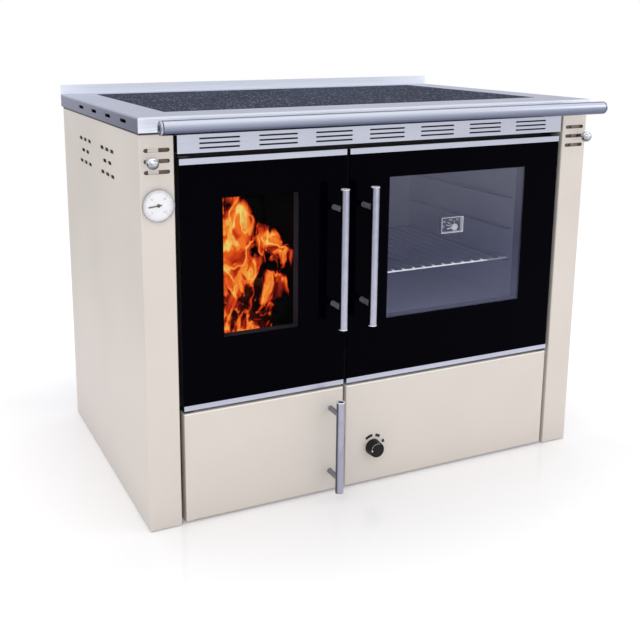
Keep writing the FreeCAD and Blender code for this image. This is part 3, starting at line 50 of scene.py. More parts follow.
class Socket:
    """One value in a material's node tree. Sums and products of it add Math nodes."""

    def __init__(self, tree, socket):
        self.tree = tree
        self.socket = socket

    def node(self, kind, settings=None, inputs=None, output=0):
        """Adds a node: its settings first, then what its sockets hold or are linked to."""
        made = self.tree.nodes.new("ShaderNode" + kind)
        for name, value in (settings or {}).items():
            if name == "stops":
                ramp = made.color_ramp.elements
                while len(ramp) < len(value):
                    ramp.new(1.0)
                for stop, (position, tone) in zip(ramp, value):
                    stop.position = position
                    stop.color = (*tone, 1.0)
            else:
                setattr(made, name, value)
        for name, value in (inputs or {}).items():
            if isinstance(value, Socket):
                self.tree.links.new(value.socket, made.inputs[name])
            else:
                made.inputs[name].default_value = value
        return Socket(self.tree, made.outputs[output])

    def math(self, operation, *values):
        return self.node("Math", {"operation": operation}, dict(enumerate(values)))

    def __add__(self, other):
        return self.math("ADD", self, other)

    def __sub__(self, other):
        return self.math("SUBTRACT", self, other)

    def __rsub__(self, other):
        return self.math("SUBTRACT", other, self)

    def __mul__(self, other):
        return self.math("MULTIPLY", self, other)

    __radd__ = __add__
    __rmul__ = __mul__

    def size(self):
        """How far this is from zero."""
        return self.math("ABSOLUTE", self)

    def most(self, other):
        """The larger of this and another value."""
        return self.math("MAXIMUM", self, other)

    def axis(self, letter):
        return self.node("SeparateXYZ", None, {"Vector": self}, letter)

    def stretched(self, scale, offset=(0, 0, 0)):
        return self.node("Mapping", None, {"Vector": self, "Scale": scale, "Location": offset})

    def noise(self, scale, detail=2.0):
        return self.node("TexNoise", None, {"Vector": self, "Scale": scale, "Detail": detail})

    def ramp(self, *stops):
        return self.node("ValToRGB", {"stops": stops}, {"Fac": self})

    def run(self, low, high, first=0.0, last=1.0):
        """Goes evenly from first to last while this goes from low to high."""
        return self.node("MapRange", None, {
            "Value": self, "From Min": low, "From Max": high, "To Min": first, "To Max": last,
        })

    def step(self, low, high):
        """Zero at low, one at high, smooth between."""
        ends = {"Value": self, "From Min": low, "From Max": high}
        return self.node("MapRange", {"interpolation_type": "SMOOTHSTEP"}, ends)

    def mix(self, first, second):
        """Colour first where this is 0, second where it is 1."""
        return self.node("Mix", {"data_type": "RGBA"}, {0: self, 6: first, 7: second}, 2)

    def bump(self, strength, distance):
        return self.node("Bump", None, {"Height": self, "Strength": strength, "Distance": distance})


def colour(red, green, blue):
    return (red, green, blue, 1.0)


def finish(name, make):
    """A material whose shader gets the sockets that make(place) returns, place being Object coordinates."""
    material = bpy.data.materials.new(name)
    material.use_nodes = True
    tree = material.node_tree
    shader = tree.nodes["Principled BSDF"]
    place = Socket(tree, tree.nodes.new("ShaderNodeTexCoord").outputs["Object"])
    for socket, value in make(place).items():
        if isinstance(value, Socket):
            tree.links.new(value.socket, shader.inputs[socket])
        else:
            shader.inputs[socket].default_value = value
    return material


def dress(material, *nodes):
    """Gives CAD nodes a finish."""
    for node in nodes:
        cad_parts[node].material_slots[0].material = material


NEAR_FLOOR_H = 0.09


def cream_enamel(place):
    """Cream enamel, a little darker near the floor."""
    cloud = place.noise(4.0, 3.0)
    peel = place.noise(420.0, 2.0)
    near_floor_dark = place.axis("Z").step(NEAR_FLOOR_H, 0.0) * 0.25
    tone = cloud.ramp((0.35, (0.640, 0.586, 0.539)), (0.65, (0.670, 0.615, 0.566)))
    return {
        "Base Color": near_floor_dark.mix(tone, colour(0.60, 0.545, 0.495)),
        "Roughness": 0.36 + cloud * 0.14,
        "Coat Weight": 0.12,
        "Coat Roughness": 0.25,
        "Normal": peel.bump(0.10, 0.0004),
    }


skirt_low, skirt_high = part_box("top_frame")
SKIRT_SHADOW_START = 0.0052
SKIRT_SHADOW_FULL = 0.0036


def side_enamel(place):
    """Enamel on the sides and columns, with a band of painted shadow just under the skirt of the top."""
    looks = cream_enamel(place)
    # Painted shadow: a dark band on the enamel under the overhanging skirt.
    painted_skirt_shadow = place.axis("Z").step(skirt_low.z - SKIRT_SHADOW_START, skirt_low.z - SKIRT_SHADOW_FULL)
    looks["Base Color"] = painted_skirt_shadow.mix(looks["Base Color"], colour(0.030, 0.030, 0.042))
    return looks


panel_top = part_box("lower_panel")[1].z
EDGE_HIGHLIGHT_START = 0.0030
EDGE_HIGHLIGHT_FULL = 0.0012


def panel_enamel(place):
    """Enamel with a painted highlight, a pale line along the fold at a lower front's top edge."""
    looks = cream_enamel(place)
    # Painted highlight: the top edge is coloured as if it caught the light.
    painted_edge_highlight = place.axis("Z").step(panel_top - EDGE_HIGHLIGHT_START, panel_top - EDGE_HIGHLIGHT_FULL)
    looks["Base Color"] = painted_edge_highlight.mix(looks["Base Color"], colour(0.92, 0.88, 0.82))
    return looks


dress(finish("cream_enamel", cream_enamel), "left_slide_plate")
dress(finish("side_enamel", side_enamel), "side_panel_left", "side_panel_right")
dress(finish("panel_enamel", panel_enamel), "lower_panel", "ash_door_panel")


# Stainless top frame with its skirt and upstand, the slotted fascia under it and the angle strips over the
# edges of the door glass. Thin stainless sheet, folded, with a fine brushed grain along the stove's width.

hob_low, hob_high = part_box("hob_plate")
FACE_BLUR = 0.001
FLANK_SHADE_START = 0.0012
FLANK_SHADE_FULL = 0.0002


def brushed_sheet(place):
    """Brushed sheet with a painted sheen on the upstand and the top's front skirt, and painted shade on its
    flanks.
    """
    # Painted light: the front faces are coloured paler and less metallic, and the side skirts darker.
    upstand = place.axis("Z").step(hob_high.z, hob_high.z + FACE_BLUR)
    painted_sheen = upstand + place.axis("Y").step(skirt_low.y + FACE_BLUR, skirt_low.y) * 0.85
    painted_flank_shade = place.axis("X").size().step(skirt_high.x - FLANK_SHADE_START, skirt_high.x - FLANK_SHADE_FULL)
    grain = place.stretched((6.0, 900.0, 900.0)).noise(1.0, 4.0)
    patch = place.noise(7.0, 2.0)
    tone = (grain * 0.5 + patch * 0.5).ramp((0.3, (0.50, 0.525, 0.625)), (0.7, (0.60, 0.625, 0.725)))
    tone = painted_flank_shade.mix(tone, colour(0.42, 0.43, 0.54))
    return {
        "Base Color": painted_sheen.mix(tone, colour(0.85, 0.89, 0.99)),
        "Metallic": 0.95 - painted_sheen * 0.80,
        "Roughness": 0.22 + grain * 0.14,
        "Normal": grain.bump(0.12, 0.0003),
    }


dress(
    finish("brushed_sheet", brushed_sheet),
    "top_frame", "vent_fascia", "fire_door_trims", "oven_door_trims",
)


# Hob: one plate of glass ceramic, slate grey with a fine pale speckle. It lies flush in the top frame, on a
# narrow seal that shows as a dark line round its edge.

RIM_X = 0.0035
RIM_Y = 0.0075
RIM_BLUR_X = 0.001
RIM_BLUR_Y = 0.002


def hob_speckle(place):
    drawn = place.stretched((1.0, 0.4, 1.0))
    grit = drawn.noise(260.0, 3.0)
    cloud = place.noise(9.0, 3.0)
    ground = (grit * 0.8 + cloud * 0.2).ramp((0.38, (0.004, 0.006, 0.014)), (0.64, (0.044, 0.057, 0.106)))
    grains = {"Vector": drawn, "Scale": 200.0}
    core = drawn.node("TexVoronoi", None, grains, "Distance").step(0.46, 0.24)
    chosen = drawn.node("TexVoronoi", None, grains, "Color").step(0.57, 0.69)
    tone = (core * chosen).mix(ground, colour(0.25, 0.28, 0.36))
    y = place.axis("Y")
    ends = place.axis("X").size().step(hob_high.x - RIM_X, hob_high.x - RIM_X + RIM_BLUR_X)
    front = y.step(hob_low.y + RIM_Y, hob_low.y + RIM_Y - RIM_BLUR_Y)
    back = y.step(hob_high.y - RIM_Y, hob_high.y - RIM_Y + RIM_BLUR_Y)
    rim = ends.most(front.most(back))
    return {
        "Base Color": rim.mix(tone, colour(0.003, 0.003, 0.008)),
        "Roughness": 0.68 + grit * 0.2,
        "Specular IOR Level": 0.10,
        "Normal": grit.bump(0.3, 0.0004),
    }


dress(finish("hob_speckle", hob_speckle), "hob_plate")


# Front rail on round spacers in front of the skirt, closed by turned end caps, and the three bar handles on
# their posts. Stainless tube and rod, polished until the grain all but goes.

def polished_tube(place):
    grain = place.stretched((40.0, 500.0, 40.0)).noise(1.0, 3.0)
    return {
        "Base Color": grain.ramp((0.3, (0.43, 0.44, 0.53)), (0.7, (0.52, 0.53, 0.62))),
        "Metallic": 1.0,
        "Roughness": 0.17 + grain * 0.12,
        "Normal": grain.bump(0.05, 0.0002),
    }


rail_low, rail_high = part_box("rail_tube")
rail_middle = (rail_low.y + rail_high.y) / 2
JOINT_START = 0.0024
JOINT_FULL = 0.0012
BEHIND_SHADE_START = 0.0080
BEHIND_SHADE_FULL = 0.0045


def rail_tube(place):
    """Tube with a painted highlight above, painted shade underneath and behind, and dark at the joint with
    its end caps.
    """
    looks = polished_tube(place)
    # Painted light: the colour runs from shade underneath to a highlight along the top.
    tone = place.axis("Z").run(rail_low.z, rail_high.z).ramp(
        (0.10, (0.09, 0.10, 0.16)), (0.33, (0.19, 0.21, 0.29)), (0.54, (0.36, 0.39, 0.49)),
        (0.66, (0.50, 0.53, 0.64)), (0.80, (0.53, 0.56, 0.66)),
    )
    joint = place.axis("X").size().step(rail_high.x - JOINT_START, rail_high.x - JOINT_FULL)
    tone = joint.mix(tone, colour(0.03, 0.03, 0.05))
    painted_shade_behind = place.axis("Y").step(rail_middle - BEHIND_SHADE_START, rail_middle - BEHIND_SHADE_FULL)
    looks["Base Color"] = painted_shade_behind.mix(tone, colour(0.16, 0.17, 0.22))
    return looks


BAR_R = 0.009
POST_BLUR = 0.001
END_HIGHLIGHT_START = 0.0020
END_HIGHLIGHT_FULL = 0.0008


def bar_handle(node):
    """Polished bar with painted shade along its sides and a painted highlight at the rims of its ends, on
    satin posts.
    """
    low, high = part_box(node)
    bar_back = low.y + 2 * BAR_R
    middle = (low + high) / 2
    half = (high.z - low.z) / 2

    def make(place):
        looks = polished_tube(place)
        post = place.axis("Y").step(bar_back, bar_back + POST_BLUR)
        # Painted highlight at the rims of the bar's ends; the next mask is painted shade along its sides.
        rim = (place.axis("Z") - middle.z).size().step(half - END_HIGHLIGHT_START, half - END_HIGHLIGHT_FULL)
        side = (place.axis("X") - middle.x).size().step(0.72 * BAR_R, 0.98 * BAR_R)
        tone = side.mix(looks["Base Color"], colour(0.10, 0.10, 0.14))
        tone = post.mix(tone, colour(0.20, 0.20, 0.24))
        looks["Base Color"] = rim.mix(tone, colour(0.95, 0.95, 0.98))
        looks["Metallic"] = 1.0 - post * 0.75 - rim * 0.9
        return looks
    return make


dress(finish("polished_tube", polished_tube), "rail_brackets", "rail_end_caps")
dress(finish("rail_tube", rail_tube), "rail_tube")
for handle in ("fire_door_handle", "oven_door_handle", "ash_door_handle"):
    dress(finish(handle, bar_handle(handle)), handle)


# Key sockets in the rail's end caps: round blind holes for the key that tightens them. A thin dark disc at
# the foot of each is painted shade for its shaded floor.

def piece(name, mesh, material, body):
    """Makes an object of a finished bmesh and hangs it on a body."""
    bmesh.ops.recalc_face_normals(mesh, faces=mesh.faces)
    data = bpy.data.meshes.new(name)
    mesh.to_mesh(data)
    mesh.free()
    made = bpy.data.objects.new(name, data)
    made.data.materials.append(material)
    bpy.context.scene.collection.objects.link(made)
    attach(made, body)
    return made


def ink(first, second, roughness=0.5):
    """A finish for printed marks and small painted things, in two shades of one tone."""
    def make(place):
        return {"Base Color": place.noise(90.0).ramp((0.3, first), (0.7, second)), "Roughness": roughness}
    return make


# Dark print. It is also used as painted shade in the rail's key sockets.
DARK_PRINT_AND_SHADE = finish("dark_print_and_shade", ink((0.008, 0.008, 0.010), (0.016, 0.016, 0.019)))
PALE_PRINT = finish("pale_print", ink((0.84, 0.85, 0.88), (0.92, 0.93, 0.95)))

cap_low, cap_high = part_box("rail_end_caps")
cap_middle = (cap_low + cap_high) / 2
SOCKET_R = 0.006
SOCKET_D = 0.003
SHADE_T = 0.0006
sockets = bmesh.new()
for x in (cap_low.x + SOCKET_D, cap_high.x - SOCKET_D):
    facing = Matrix.Translation((x, cap_middle.y, cap_middle.z)) @ Matrix.Rotation(math.pi / 2, 4, "Y")
    bmesh.ops.create_cone(
        sockets, cap_ends=True, segments=24, radius1=SOCKET_R, radius2=SOCKET_R, depth=SHADE_T, matrix=facing
    )
piece("rail_socket_floors", sockets, DARK_PRINT_AND_SHADE, "stove")


# Outer panes of the fire door and the oven door: toughened glass, printed black on its back all round a
# clear window. They lie on the pressed door frames, held by the steel strips at head and foot.

def within(place, window, outer, inner):
    """One in a window seen from the front, zero outside. It fades between two distances past its edges."""
    low, high = window
    x, z = place.axis("X"), place.axis("Z")
    across = x.step(low.x - outer, low.x - inner) * x.step(high.x + outer, high.x + inner)
    return across * z.step(low.z - outer, low.z - inner) * z.step(high.z + outer, high.z + inner)


PRINT_BLUR = 0.0006


def printed_glass(window, tints, cover):
    """A finish that is black outside the window's box, and inside it lets all but the cover through.

    The tints of what it keeps are given for its foot, middle and head; on the oven pane they are painted
    reflection.
    """
    low, high = window

    def make(place):
        clear = within(place, window, PRINT_BLUR, -PRINT_BLUR)
        smear = place.stretched((3.0, 3.0, 9.0)).noise(2.0, 3.0)
        up = place.axis("Z").run(low.z, high.z)
        tint_and_reflection = (up + (smear - 0.5) * 0.3).ramp((0.0, tints[0]), (0.45, tints[1]), (1.0, tints[2]))
        return {
            "Base Color": clear.mix(colour(0.0003, 0.0003, 0.0016), tint_and_reflection),
            "Roughness": 0.04 + smear * 0.05,
            "Specular IOR Level": 0.018,
            "Alpha": 1.0 - clear * (1.0 - cover),
        }
    return make


def window_of(node, lap):
    """A window's box, from the inner pane that laps it."""
    low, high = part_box(node)
    inset = Vector((lap, 0, lap))
    return low + inset, high - inset


PANE_LAP = 0.012
fire_window = window_of("fire_door_inner_glass", PANE_LAP)
oven_window = window_of("oven_door_inner_glass", PANE_LAP)
fire_film = ((0.001, 0.001, 0.002), (0.001, 0.001, 0.002), (0.002, 0.001, 0.001))
# The oven pane's haze is a painted reflection: pale blue-grey, lightest at the foot and head of the window.
oven_painted_reflection = ((0.230, 0.240, 0.390), (0.140, 0.152, 0.255), (0.270, 0.275, 0.370))
dress(finish("fire_glass", printed_glass(fire_window, fire_film, 0.12)), "fire_door_glass")
dress(finish("oven_glass", printed_glass(oven_window, oven_painted_reflection, 0.17)), "oven_door_glass")


# Inner panes of both doors: clear heat-proof glass with a trace of smoke on it, set behind the windows of
# the door frames.

def clear_glass(place):
    smear = place.noise(12.0, 3.0)
    return {
        "Base Color": smear.ramp((0.3, (0.010, 0.011, 0.013)), (0.7, (0.020, 0.022, 0.025))),
        "Roughness": 0.05,
        "Specular IOR Level": 0.2,
        "Alpha": 0.03 + smear * 0.05,
    }


dress(finish("clear_glass", clear_glass), "fire_door_inner_glass", "oven_door_inner_glass")


# Black steel: the bars of the front frame, the strip behind the fascia, the pressed door frames, the hinge
# brackets and the guides of the air slides. Mild steel in matt heat-proof paint, a little greyer in the
# window reveals.

def black_steel(place):
    grit = place.noise(260.0, 2.0)
    cloud = place.noise(11.0, 3.0)
    return {
        "Base Color": cloud.ramp((0.3, (0.014, 0.014, 0.017)), (0.7, (0.026, 0.026, 0.030))),
        "Roughness": 0.55 + cloud * 0.2,
        "Normal": grit.bump(0.15, 0.0003),
    }


REVEAL_LIP = 0.003


def door_frame_steel(window):
    """Black steel, greyer in the reveal of a window."""
    def make(place):
        looks = black_steel(place)
        reveal = within(place, window, REVEAL_LIP, REVEAL_LIP / 2)
        looks["Base Color"] = reveal.mix(looks["Base Color"], colour(0.036, 0.036, 0.058))
        return looks
    return make


LOWEST_HINGE_TOP = 0.05
HINGE_BLUR = 0.01


def hinge_steel(place):
    """Black brackets, the lowest of which lies under the ash door and is sprayed with the casing."""
    looks = black_steel(place)
    lowest = place.axis("Z").step(LOWEST_HINGE_TOP + HINGE_BLUR, LOWEST_HINGE_TOP)
    looks["Base Color"] = lowest.mix(looks["Base Color"], colour(0.60, 0.55, 0.51))
    return looks


dress(finish("black_steel", black_steel), "front_frame", "slide_guides", "vent_screen")
dress(finish("hinge_steel", hinge_steel), "hinge_brackets")
dress(finish("fire_door_steel", door_frame_steel(fire_window)), "fire_door_frame")
dress(finish("oven_door_steel", door_frame_steel(oven_window)), "oven_door_frame")


# Rope seals round the three hatches and under the hob: braided glass-fibre rope, pressed a little flat,
# glued to the backs of the doors and to the ledge under the hob.

def braided_rope(place):
    strand = place.node(
        "TexWave", {"bands_direction": "DIAGONAL"}, {"Vector": place, "Scale": 95.0, "Distortion": 2.0}
    )
    worn = strand * 0.6 + place.noise(30.0, 3.0) * 0.4
    return {
        "Base Color": worn.ramp((0.25, (0.10, 0.098, 0.09)), (0.75, (0.33, 0.32, 0.30))),
        "Roughness": 0.9,
        "Normal": strand.bump(0.6, 0.001),
    }


ROPE = finish("braided_rope", braided_rope)
ROPE_ROUNDING = 0.42
SHARP_ANGLE = 1.0


def rope_ring(node, body, width, lying):
    """A flat ring of rope in the box of a CAD node. A lying ring has its hole along Z, the others along Y."""
    low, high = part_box(node)
    middle, size = (low + high) / 2, high - low
    across = size.y if lying else size.z
    depth = size.z if lying else size.y
    mesh = bmesh.new()
    bmesh.ops.create_grid(mesh, x_segments=1, y_segments=1, size=0.5)
    bmesh.ops.scale(mesh, vec=(size.x, across, 1.0), verts=mesh.verts)
    bmesh.ops.inset_individual(mesh, faces=mesh.faces[:], thickness=width, use_even_offset=True)
    centre = min(mesh.faces, key=lambda f: f.calc_center_median().length)
    bmesh.ops.delete(mesh, geom=[centre], context="FACES")
    bmesh.ops.solidify(mesh, geom=mesh.faces[:], thickness=depth)
    lowest = min(v.co.z for v in mesh.verts)
    bmesh.ops.translate(mesh, vec=(0, 0, -lowest - depth / 2), verts=mesh.verts)
    long_edges = [
        e for e in mesh.edges
        if abs(e.verts[0].co.z - e.verts[1].co.z) < depth / 4
        and len(e.link_faces) == 2 and abs(e.calc_face_angle(0)) > SHARP_ANGLE
    ]
    bmesh.ops.bevel(
        mesh, geom=long_edges, offset=depth * ROPE_ROUNDING, affect="EDGES",
        segments=4, profile=0.5, material=-1,
    )
    if not lying:
        bmesh.ops.rotate(mesh, cent=(0, 0, 0), matrix=Matrix.Rotation(math.pi / 2, 3, "X"), verts=mesh.verts)
    bmesh.ops.translate(mesh, vec=middle, verts=mesh.verts)
    made = piece(node + "_rope", mesh, ROPE, body)
    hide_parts(node)


ROPE_W = 0.012
HOB_ROPE_W = 0.009
rope_ring("fire_door_seal", "fire_door", ROPE_W, False)
rope_ring("oven_door_seal", "oven_door", ROPE_W, False)
rope_ring("ash_door_seal", "ash_door", ROPE_W, False)
rope_ring("hob_seal", "stove", HOB_ROPE_W, True)


# Boiler, smoke chest, the plate under the grate, ash box, air flap and flue collar: welded steel plate,
# painted dark grey. The firebox walls are black with soot.

def sooted_steel(place):
    cloud = place.noise(14.0, 4.0)
    grit = place.noise(300.0, 2.0)
    mottle = cloud * 0.75 + grit * 0.25
    return {
        "Base Color": mottle.ramp((0.32, (0.030, 0.029, 0.029)), (0.68, (0.105, 0.098, 0.094))),
        "Roughness": 0.6 + cloud * 0.25,
        "Normal": grit.bump(0.25, 0.0004),
    }


def black_soot(place):
    cloud = place.noise(18.0, 4.0)
    return {
        "Base Color": cloud.ramp((0.3, (0.003, 0.003, 0.003)), (0.7, (0.009, 0.0085, 0.008))),
        "Roughness": 0.95,
        "Specular IOR Level": 0.05,
        "Normal": cloud.bump(0.4, 0.001),
    }


dress(
    finish("sooted_steel", sooted_steel),
    "boiler_outer_shell", "smoke_chest", "grate_frame", "ash_box", "flue_collar", "air_flap",
)
dress(finish("black_soot", black_soot), "boiler_inner_shell")


# Grate: a cast iron rim with bars from front to back, with a sandy skin and ash on it. It lies loose on the
# plate that carries the boiler.

def cast_skin(place):
    sand = place.noise(380.0, 3.0)
    ash = place.noise(35.0, 4.0).step(0.52, 0.70)
    return {
        "Base Color": ash.mix(colour(0.030, 0.029, 0.028), colour(0.20, 0.19, 0.18)),
        "Roughness": 0.8,
        "Normal": sand.bump(0.5, 0.0006),
    }


dress(finish("cast_skin", cast_skin), "grate")


# Zinc-plated pieces: base, back, ash pan, the inside of the ash door and the pipe sockets. The zinc has a
# faint spangle.

def zinc_sheet(place):
    spangle = place.node("TexVoronoi", None, {"Vector": place, "Scale": 60.0}, "Color").axis("X")
    cloud = place.noise(6.0, 2.0)
    mottle = spangle * 0.35 + cloud * 0.65
    return {
        "Base Color": mottle.ramp((0.3, (0.40, 0.415, 0.43)), (0.7, (0.52, 0.535, 0.55))),
        "Metallic": 0.85,
        "Roughness": 0.38 + spangle * 0.14,
    }


ZINC = finish("zinc_sheet", zinc_sheet)
dress(ZINC, "base_plate", "back_panel", "ash_pan", "ash_door_liner", "boiler_sockets")


# Back panel's fixings: zinc-plated steel screws with pan heads, each with a round recess. They stand in a
# row along each edge of the panel.

SCREW_R = 0.0045
SCREW_H = 0.0024
SCREW_IN = 0.018
SCREW_DOWN = 0.042
SCREW_COLUMNS = 7
SCREW_ROWS = 5
back_low, back_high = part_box("back_panel")
column_pitch = (back_high.x - back_low.x - 2 * SCREW_IN) / (SCREW_COLUMNS - 1)
row_pitch = (back_high.z - back_low.z - SCREW_IN - SCREW_DOWN) / (SCREW_ROWS - 1)
columns = [back_low.x + SCREW_IN + i * column_pitch for i in range(SCREW_COLUMNS)]
rows = [back_low.z + SCREW_IN + i * row_pitch for i in range(SCREW_ROWS)]
places = [(x, z) for x in columns for z in (rows[0], rows[-1])]
places += [(x, z) for x in (columns[0], columns[-1]) for z in rows[1:-1]]
screws = bmesh.new()
for x, z in places:
    facing = Matrix.Translation((x, back_high.y + SCREW_H / 2, z)) @ Matrix.Rotation(-math.pi / 2, 4, "X")
    head = bmesh.ops.create_cone(
        screws, cap_ends=True, segments=20,
        radius1=SCREW_R, radius2=SCREW_R * 0.72, depth=SCREW_H, matrix=facing,
    )
    outer = max({f for v in head["verts"] for f in v.link_faces}, key=lambda f: f.calc_center_median().y)
    bmesh.ops.inset_individual(screws, faces=[outer], thickness=SCREW_R * 0.34)
    bmesh.ops.translate(screws, vec=(0, -SCREW_H * 0.55, 0), verts=outer.verts)
piece("back_panel_screws", screws, ZINC, "stove")


# Oven: an enamelled sheet box with ledges on both walls at three heights, and a chromed wire rack that lies
# on one pair of them.

def oven_enamel(place):
    fleck = place.noise(700.0, 2.0).step(0.60, 0.72)
    cloud = place.noise(5.0, 2.0)
    ground = cloud.ramp((0.3, (0.265, 0.280, 0.390)), (0.7, (0.335, 0.350, 0.475)))
    return {
        "Base Color": (fleck * 0.25).mix(ground, colour(0.50, 0.51, 0.58)),
        "Roughness": 0.34,
        "Coat Weight": 0.2,
    }


rack_low, rack_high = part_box("oven_rack")
PAINTED_GLINT_DEPTH = 0.007
PAINTED_SHADE_FROM_END = 0.054
SHADE_BLUR = 0.012
UNDER_SHADE_START = 0.0017
UNDER_SHADE_FULL = 0.0011


def rack_wire(place):
    """Wire with a painted glint that glows along its front rod, and painted shade behind it, underneath and
    towards its right end.
    """
    behind = place.axis("Y").step(rack_low.y + PAINTED_GLINT_DEPTH, rack_low.y + 2 * PAINTED_GLINT_DEPTH)
    painted_shade_under = place.axis("Z").step(rack_low.z + UNDER_SHADE_START, rack_low.z + UNDER_SHADE_FULL)
    shade_x = rack_high.x - PAINTED_SHADE_FROM_END
    shaded = place.axis("X").step(shade_x - SHADE_BLUR, shade_x) * 0.75
    painted_shade = behind.most(painted_shade_under.most(shaded))
    return {
        "Base Color": painted_shade.mix(colour(0.92, 0.93, 0.98), colour(0.20, 0.212, 0.31)),
        "Roughness": 0.30 + place.noise(40.0, 3.0) * 0.2,
        # The front rod's glow is a painted glint, emitted though the rod is no lamp.
        "Emission Color": painted_shade.mix(colour(0.60, 0.60, 0.636), colour(0, 0, 0)),
        "Emission Strength": 1.0,
    }


# Ledges coloured near black as painted shade, so that they read as dark lines of shadow on the walls.
def runner_painted_shade(place):
    haze = place.noise(40.0, 3.0)
    return {
        "Base Color": haze.ramp((0.3, (0.042, 0.044, 0.066)), (0.7, (0.048, 0.050, 0.074))),
        "Roughness": 0.30 + haze * 0.2,
    }


dress(finish("oven_enamel", oven_enamel), "oven_box")
dress(finish("rack_wire", rack_wire), "oven_rack")
dress(finish("runner_painted_shade", runner_painted_shade), "rack_runners")


# Oven thermometer: a pressed aluminium tray on the back of the outer pane. Its dark floor is printed with a
# fan of pale lines and numbers, and a pale pointer turns on its hub.

TRAY_WALL = 0.0015
TRAY_SKIN = 0.0004
tray_low, tray_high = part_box("oven_thermometer")


def satin_aluminium(place):
    grain = place.stretched((60.0, 900.0, 900.0)).noise(1.0, 2.0)
    return {
        "Base Color": grain.ramp((0.3, (0.86, 0.87, 0.91)), (0.7, (0.94, 0.95, 0.98))),
        "Metallic": 0.1,
        "Roughness": 0.42,
        "Normal": grain.bump(0.08, 0.0002),
    }


def tray_sheet(place):
    """Bright inside and on its rim, painted dark on its outer sides."""
    looks = satin_aluminium(place)
    x, z = place.axis("X"), place.axis("Z")
    sides = x.step(tray_low.x + TRAY_SKIN, tray_low.x).most(x.step(tray_high.x - TRAY_SKIN, tray_high.x))
    ends = z.step(tray_low.z + TRAY_SKIN, tray_low.z).most(z.step(tray_high.z - TRAY_SKIN, tray_high.z))
    behind = place.axis("Y").step(tray_low.y + TRAY_SKIN / 4, tray_low.y + TRAY_SKIN)
    outer = sides.most(ends) * behind
    looks["Base Color"] = outer.mix(looks["Base Color"], colour(0.045, 0.048, 0.075))
    return looks


def dark_face(place):
    return {
        "Base Color": place.noise(60.0).ramp((0.3, (0.012, 0.012, 0.024)), (0.7, (0.022, 0.022, 0.040))),
        "Roughness": 0.55,
    }


def block(mesh, low, high, turn=None, about=None):
    """Adds a box between two corners, turned about a point if asked."""
    low, high = Vector(low), Vector(high)
    size = Matrix.Diagonal((*(high - low), 1.0))
    place = Matrix.Translation((low + high) / 2)
    if turn:
        place = Matrix.Translation(about) @ turn @ Matrix.Translation(-about) @ place
    bmesh.ops.create_cube(mesh, size=1.0, matrix=place @ size)


def fan_point(centre, radius, degrees, y):
    angle = math.radians(degrees)
    return Vector((centre.x + radius * math.cos(angle), y, centre.z + radius * math.sin(angle)))


def fan_line(mesh, centre, inner, outer, degrees, width, front, back):
    """Adds a thin radial mark between two radii, lying between two depths."""
    turn = Matrix.Rotation(-math.radians(degrees), 4, "Y")
    about = Vector((centre.x, 0, centre.z))
    low = (centre.x + inner, front, centre.z - width / 2)
    high = (centre.x + outer, back, centre.z + width / 2)
    block(mesh, low, high, turn, about)


def number(mesh, text, size, place):
    """Adds a flat number that faces the front, centred on a point."""
    curve = bpy.data.curves.new("number", "FONT")
    curve.body = text
    curve.size = size
    curve.align_x = "CENTER"
    curve.align_y = "CENTER"
    lettering = bpy.data.objects.new("number", curve)
    flat = bpy.data.meshes.new_from_object(lettering)
    flat.transform(Matrix.Translation(place) @ Matrix.Rotation(math.pi / 2, 4, "X"))
    mesh.from_mesh(flat)
    bpy.data.objects.remove(lettering)
    bpy.data.curves.remove(curve)
    bpy.data.meshes.remove(flat)


PAINTED_HIGHLIGHT_METAL = finish("satin_aluminium", satin_aluminium)
dress(finish("tray_sheet", tray_sheet), "oven_thermometer")
dress(PALE_PRINT, "oven_needle")

PRINT_T = 0.00015
OVEN_HUB_R = 0.008
OVEN_FIGURE_H = 0.0060
OVEN_MARK_W = 0.0011
OVEN_MARK_GAP = 0.001
needle_low, needle_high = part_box("oven_needle")
oven_hub = (needle_low + needle_high) / 2
oven_hub.x = needle_high.x - OVEN_HUB_R
floor_y = tray_high.y - TRAY_WALL
mark_y = floor_y - PRINT_T
face = bmesh.new()
block(
    face, (tray_low.x + TRAY_WALL, mark_y, tray_low.z + TRAY_WALL),
    (tray_high.x - TRAY_WALL, floor_y, tray_high.z - TRAY_WALL),
)
piece("oven_dial_face", face, finish("dark_face", dark_face), "oven_door")
fan = bmesh.new()
for label, degrees, radius in (
    ("50", 174, 0.0310), ("100", 154, 0.0320), ("200", 124, 0.0205), ("300", 68, 0.0180),
):
    number(fan, label, OVEN_FIGURE_H, fan_point(oven_hub, radius, degrees, mark_y - PRINT_T))
for degrees, reach in ((164, 0.024), (146, 0.023), (96, 0.0160)):
    start = OVEN_HUB_R + OVEN_MARK_GAP
    fan_line(fan, oven_hub, start, reach, degrees, OVEN_MARK_W, mark_y - PRINT_T, mark_y)
piece("oven_dial_marks", fan, PALE_PRINT, "oven_door")


# Air slides: chromed steel balls on stems that run through the middle slots of the columns. Each stem is
# fixed in a tongue of the shutter behind its column.

STEM_BLUR = 0.001


def ball_chrome(node):
    """Chromed ball with painted light, bright above and painted shade below, on a dark stem."""
    low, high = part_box(node)
    size = high.z - low.z

    def make(place):
        bright = place.noise(40.0, 3.0).ramp((0.3, (0.70, 0.71, 0.74)), (0.7, (0.80, 0.81, 0.84)))
        painted_light_above = place.axis("Z").step(low.z + 0.15 * size, low.z + 0.65 * size)
        stem = place.axis("Y").step(low.y + size - STEM_BLUR, low.y + size)
        tone = painted_light_above.mix(colour(0.22, 0.23, 0.27), bright)
        return {
            "Base Color": stem.mix(tone, colour(0.10, 0.10, 0.12)),
            "Metallic": 1.0,
            "Roughness": 0.22,
        }
    return make


BALLS = ("left_slide_knob", "right_slide_knob")
for ball in BALLS:
    dress(finish(ball, ball_chrome(ball)), ball)


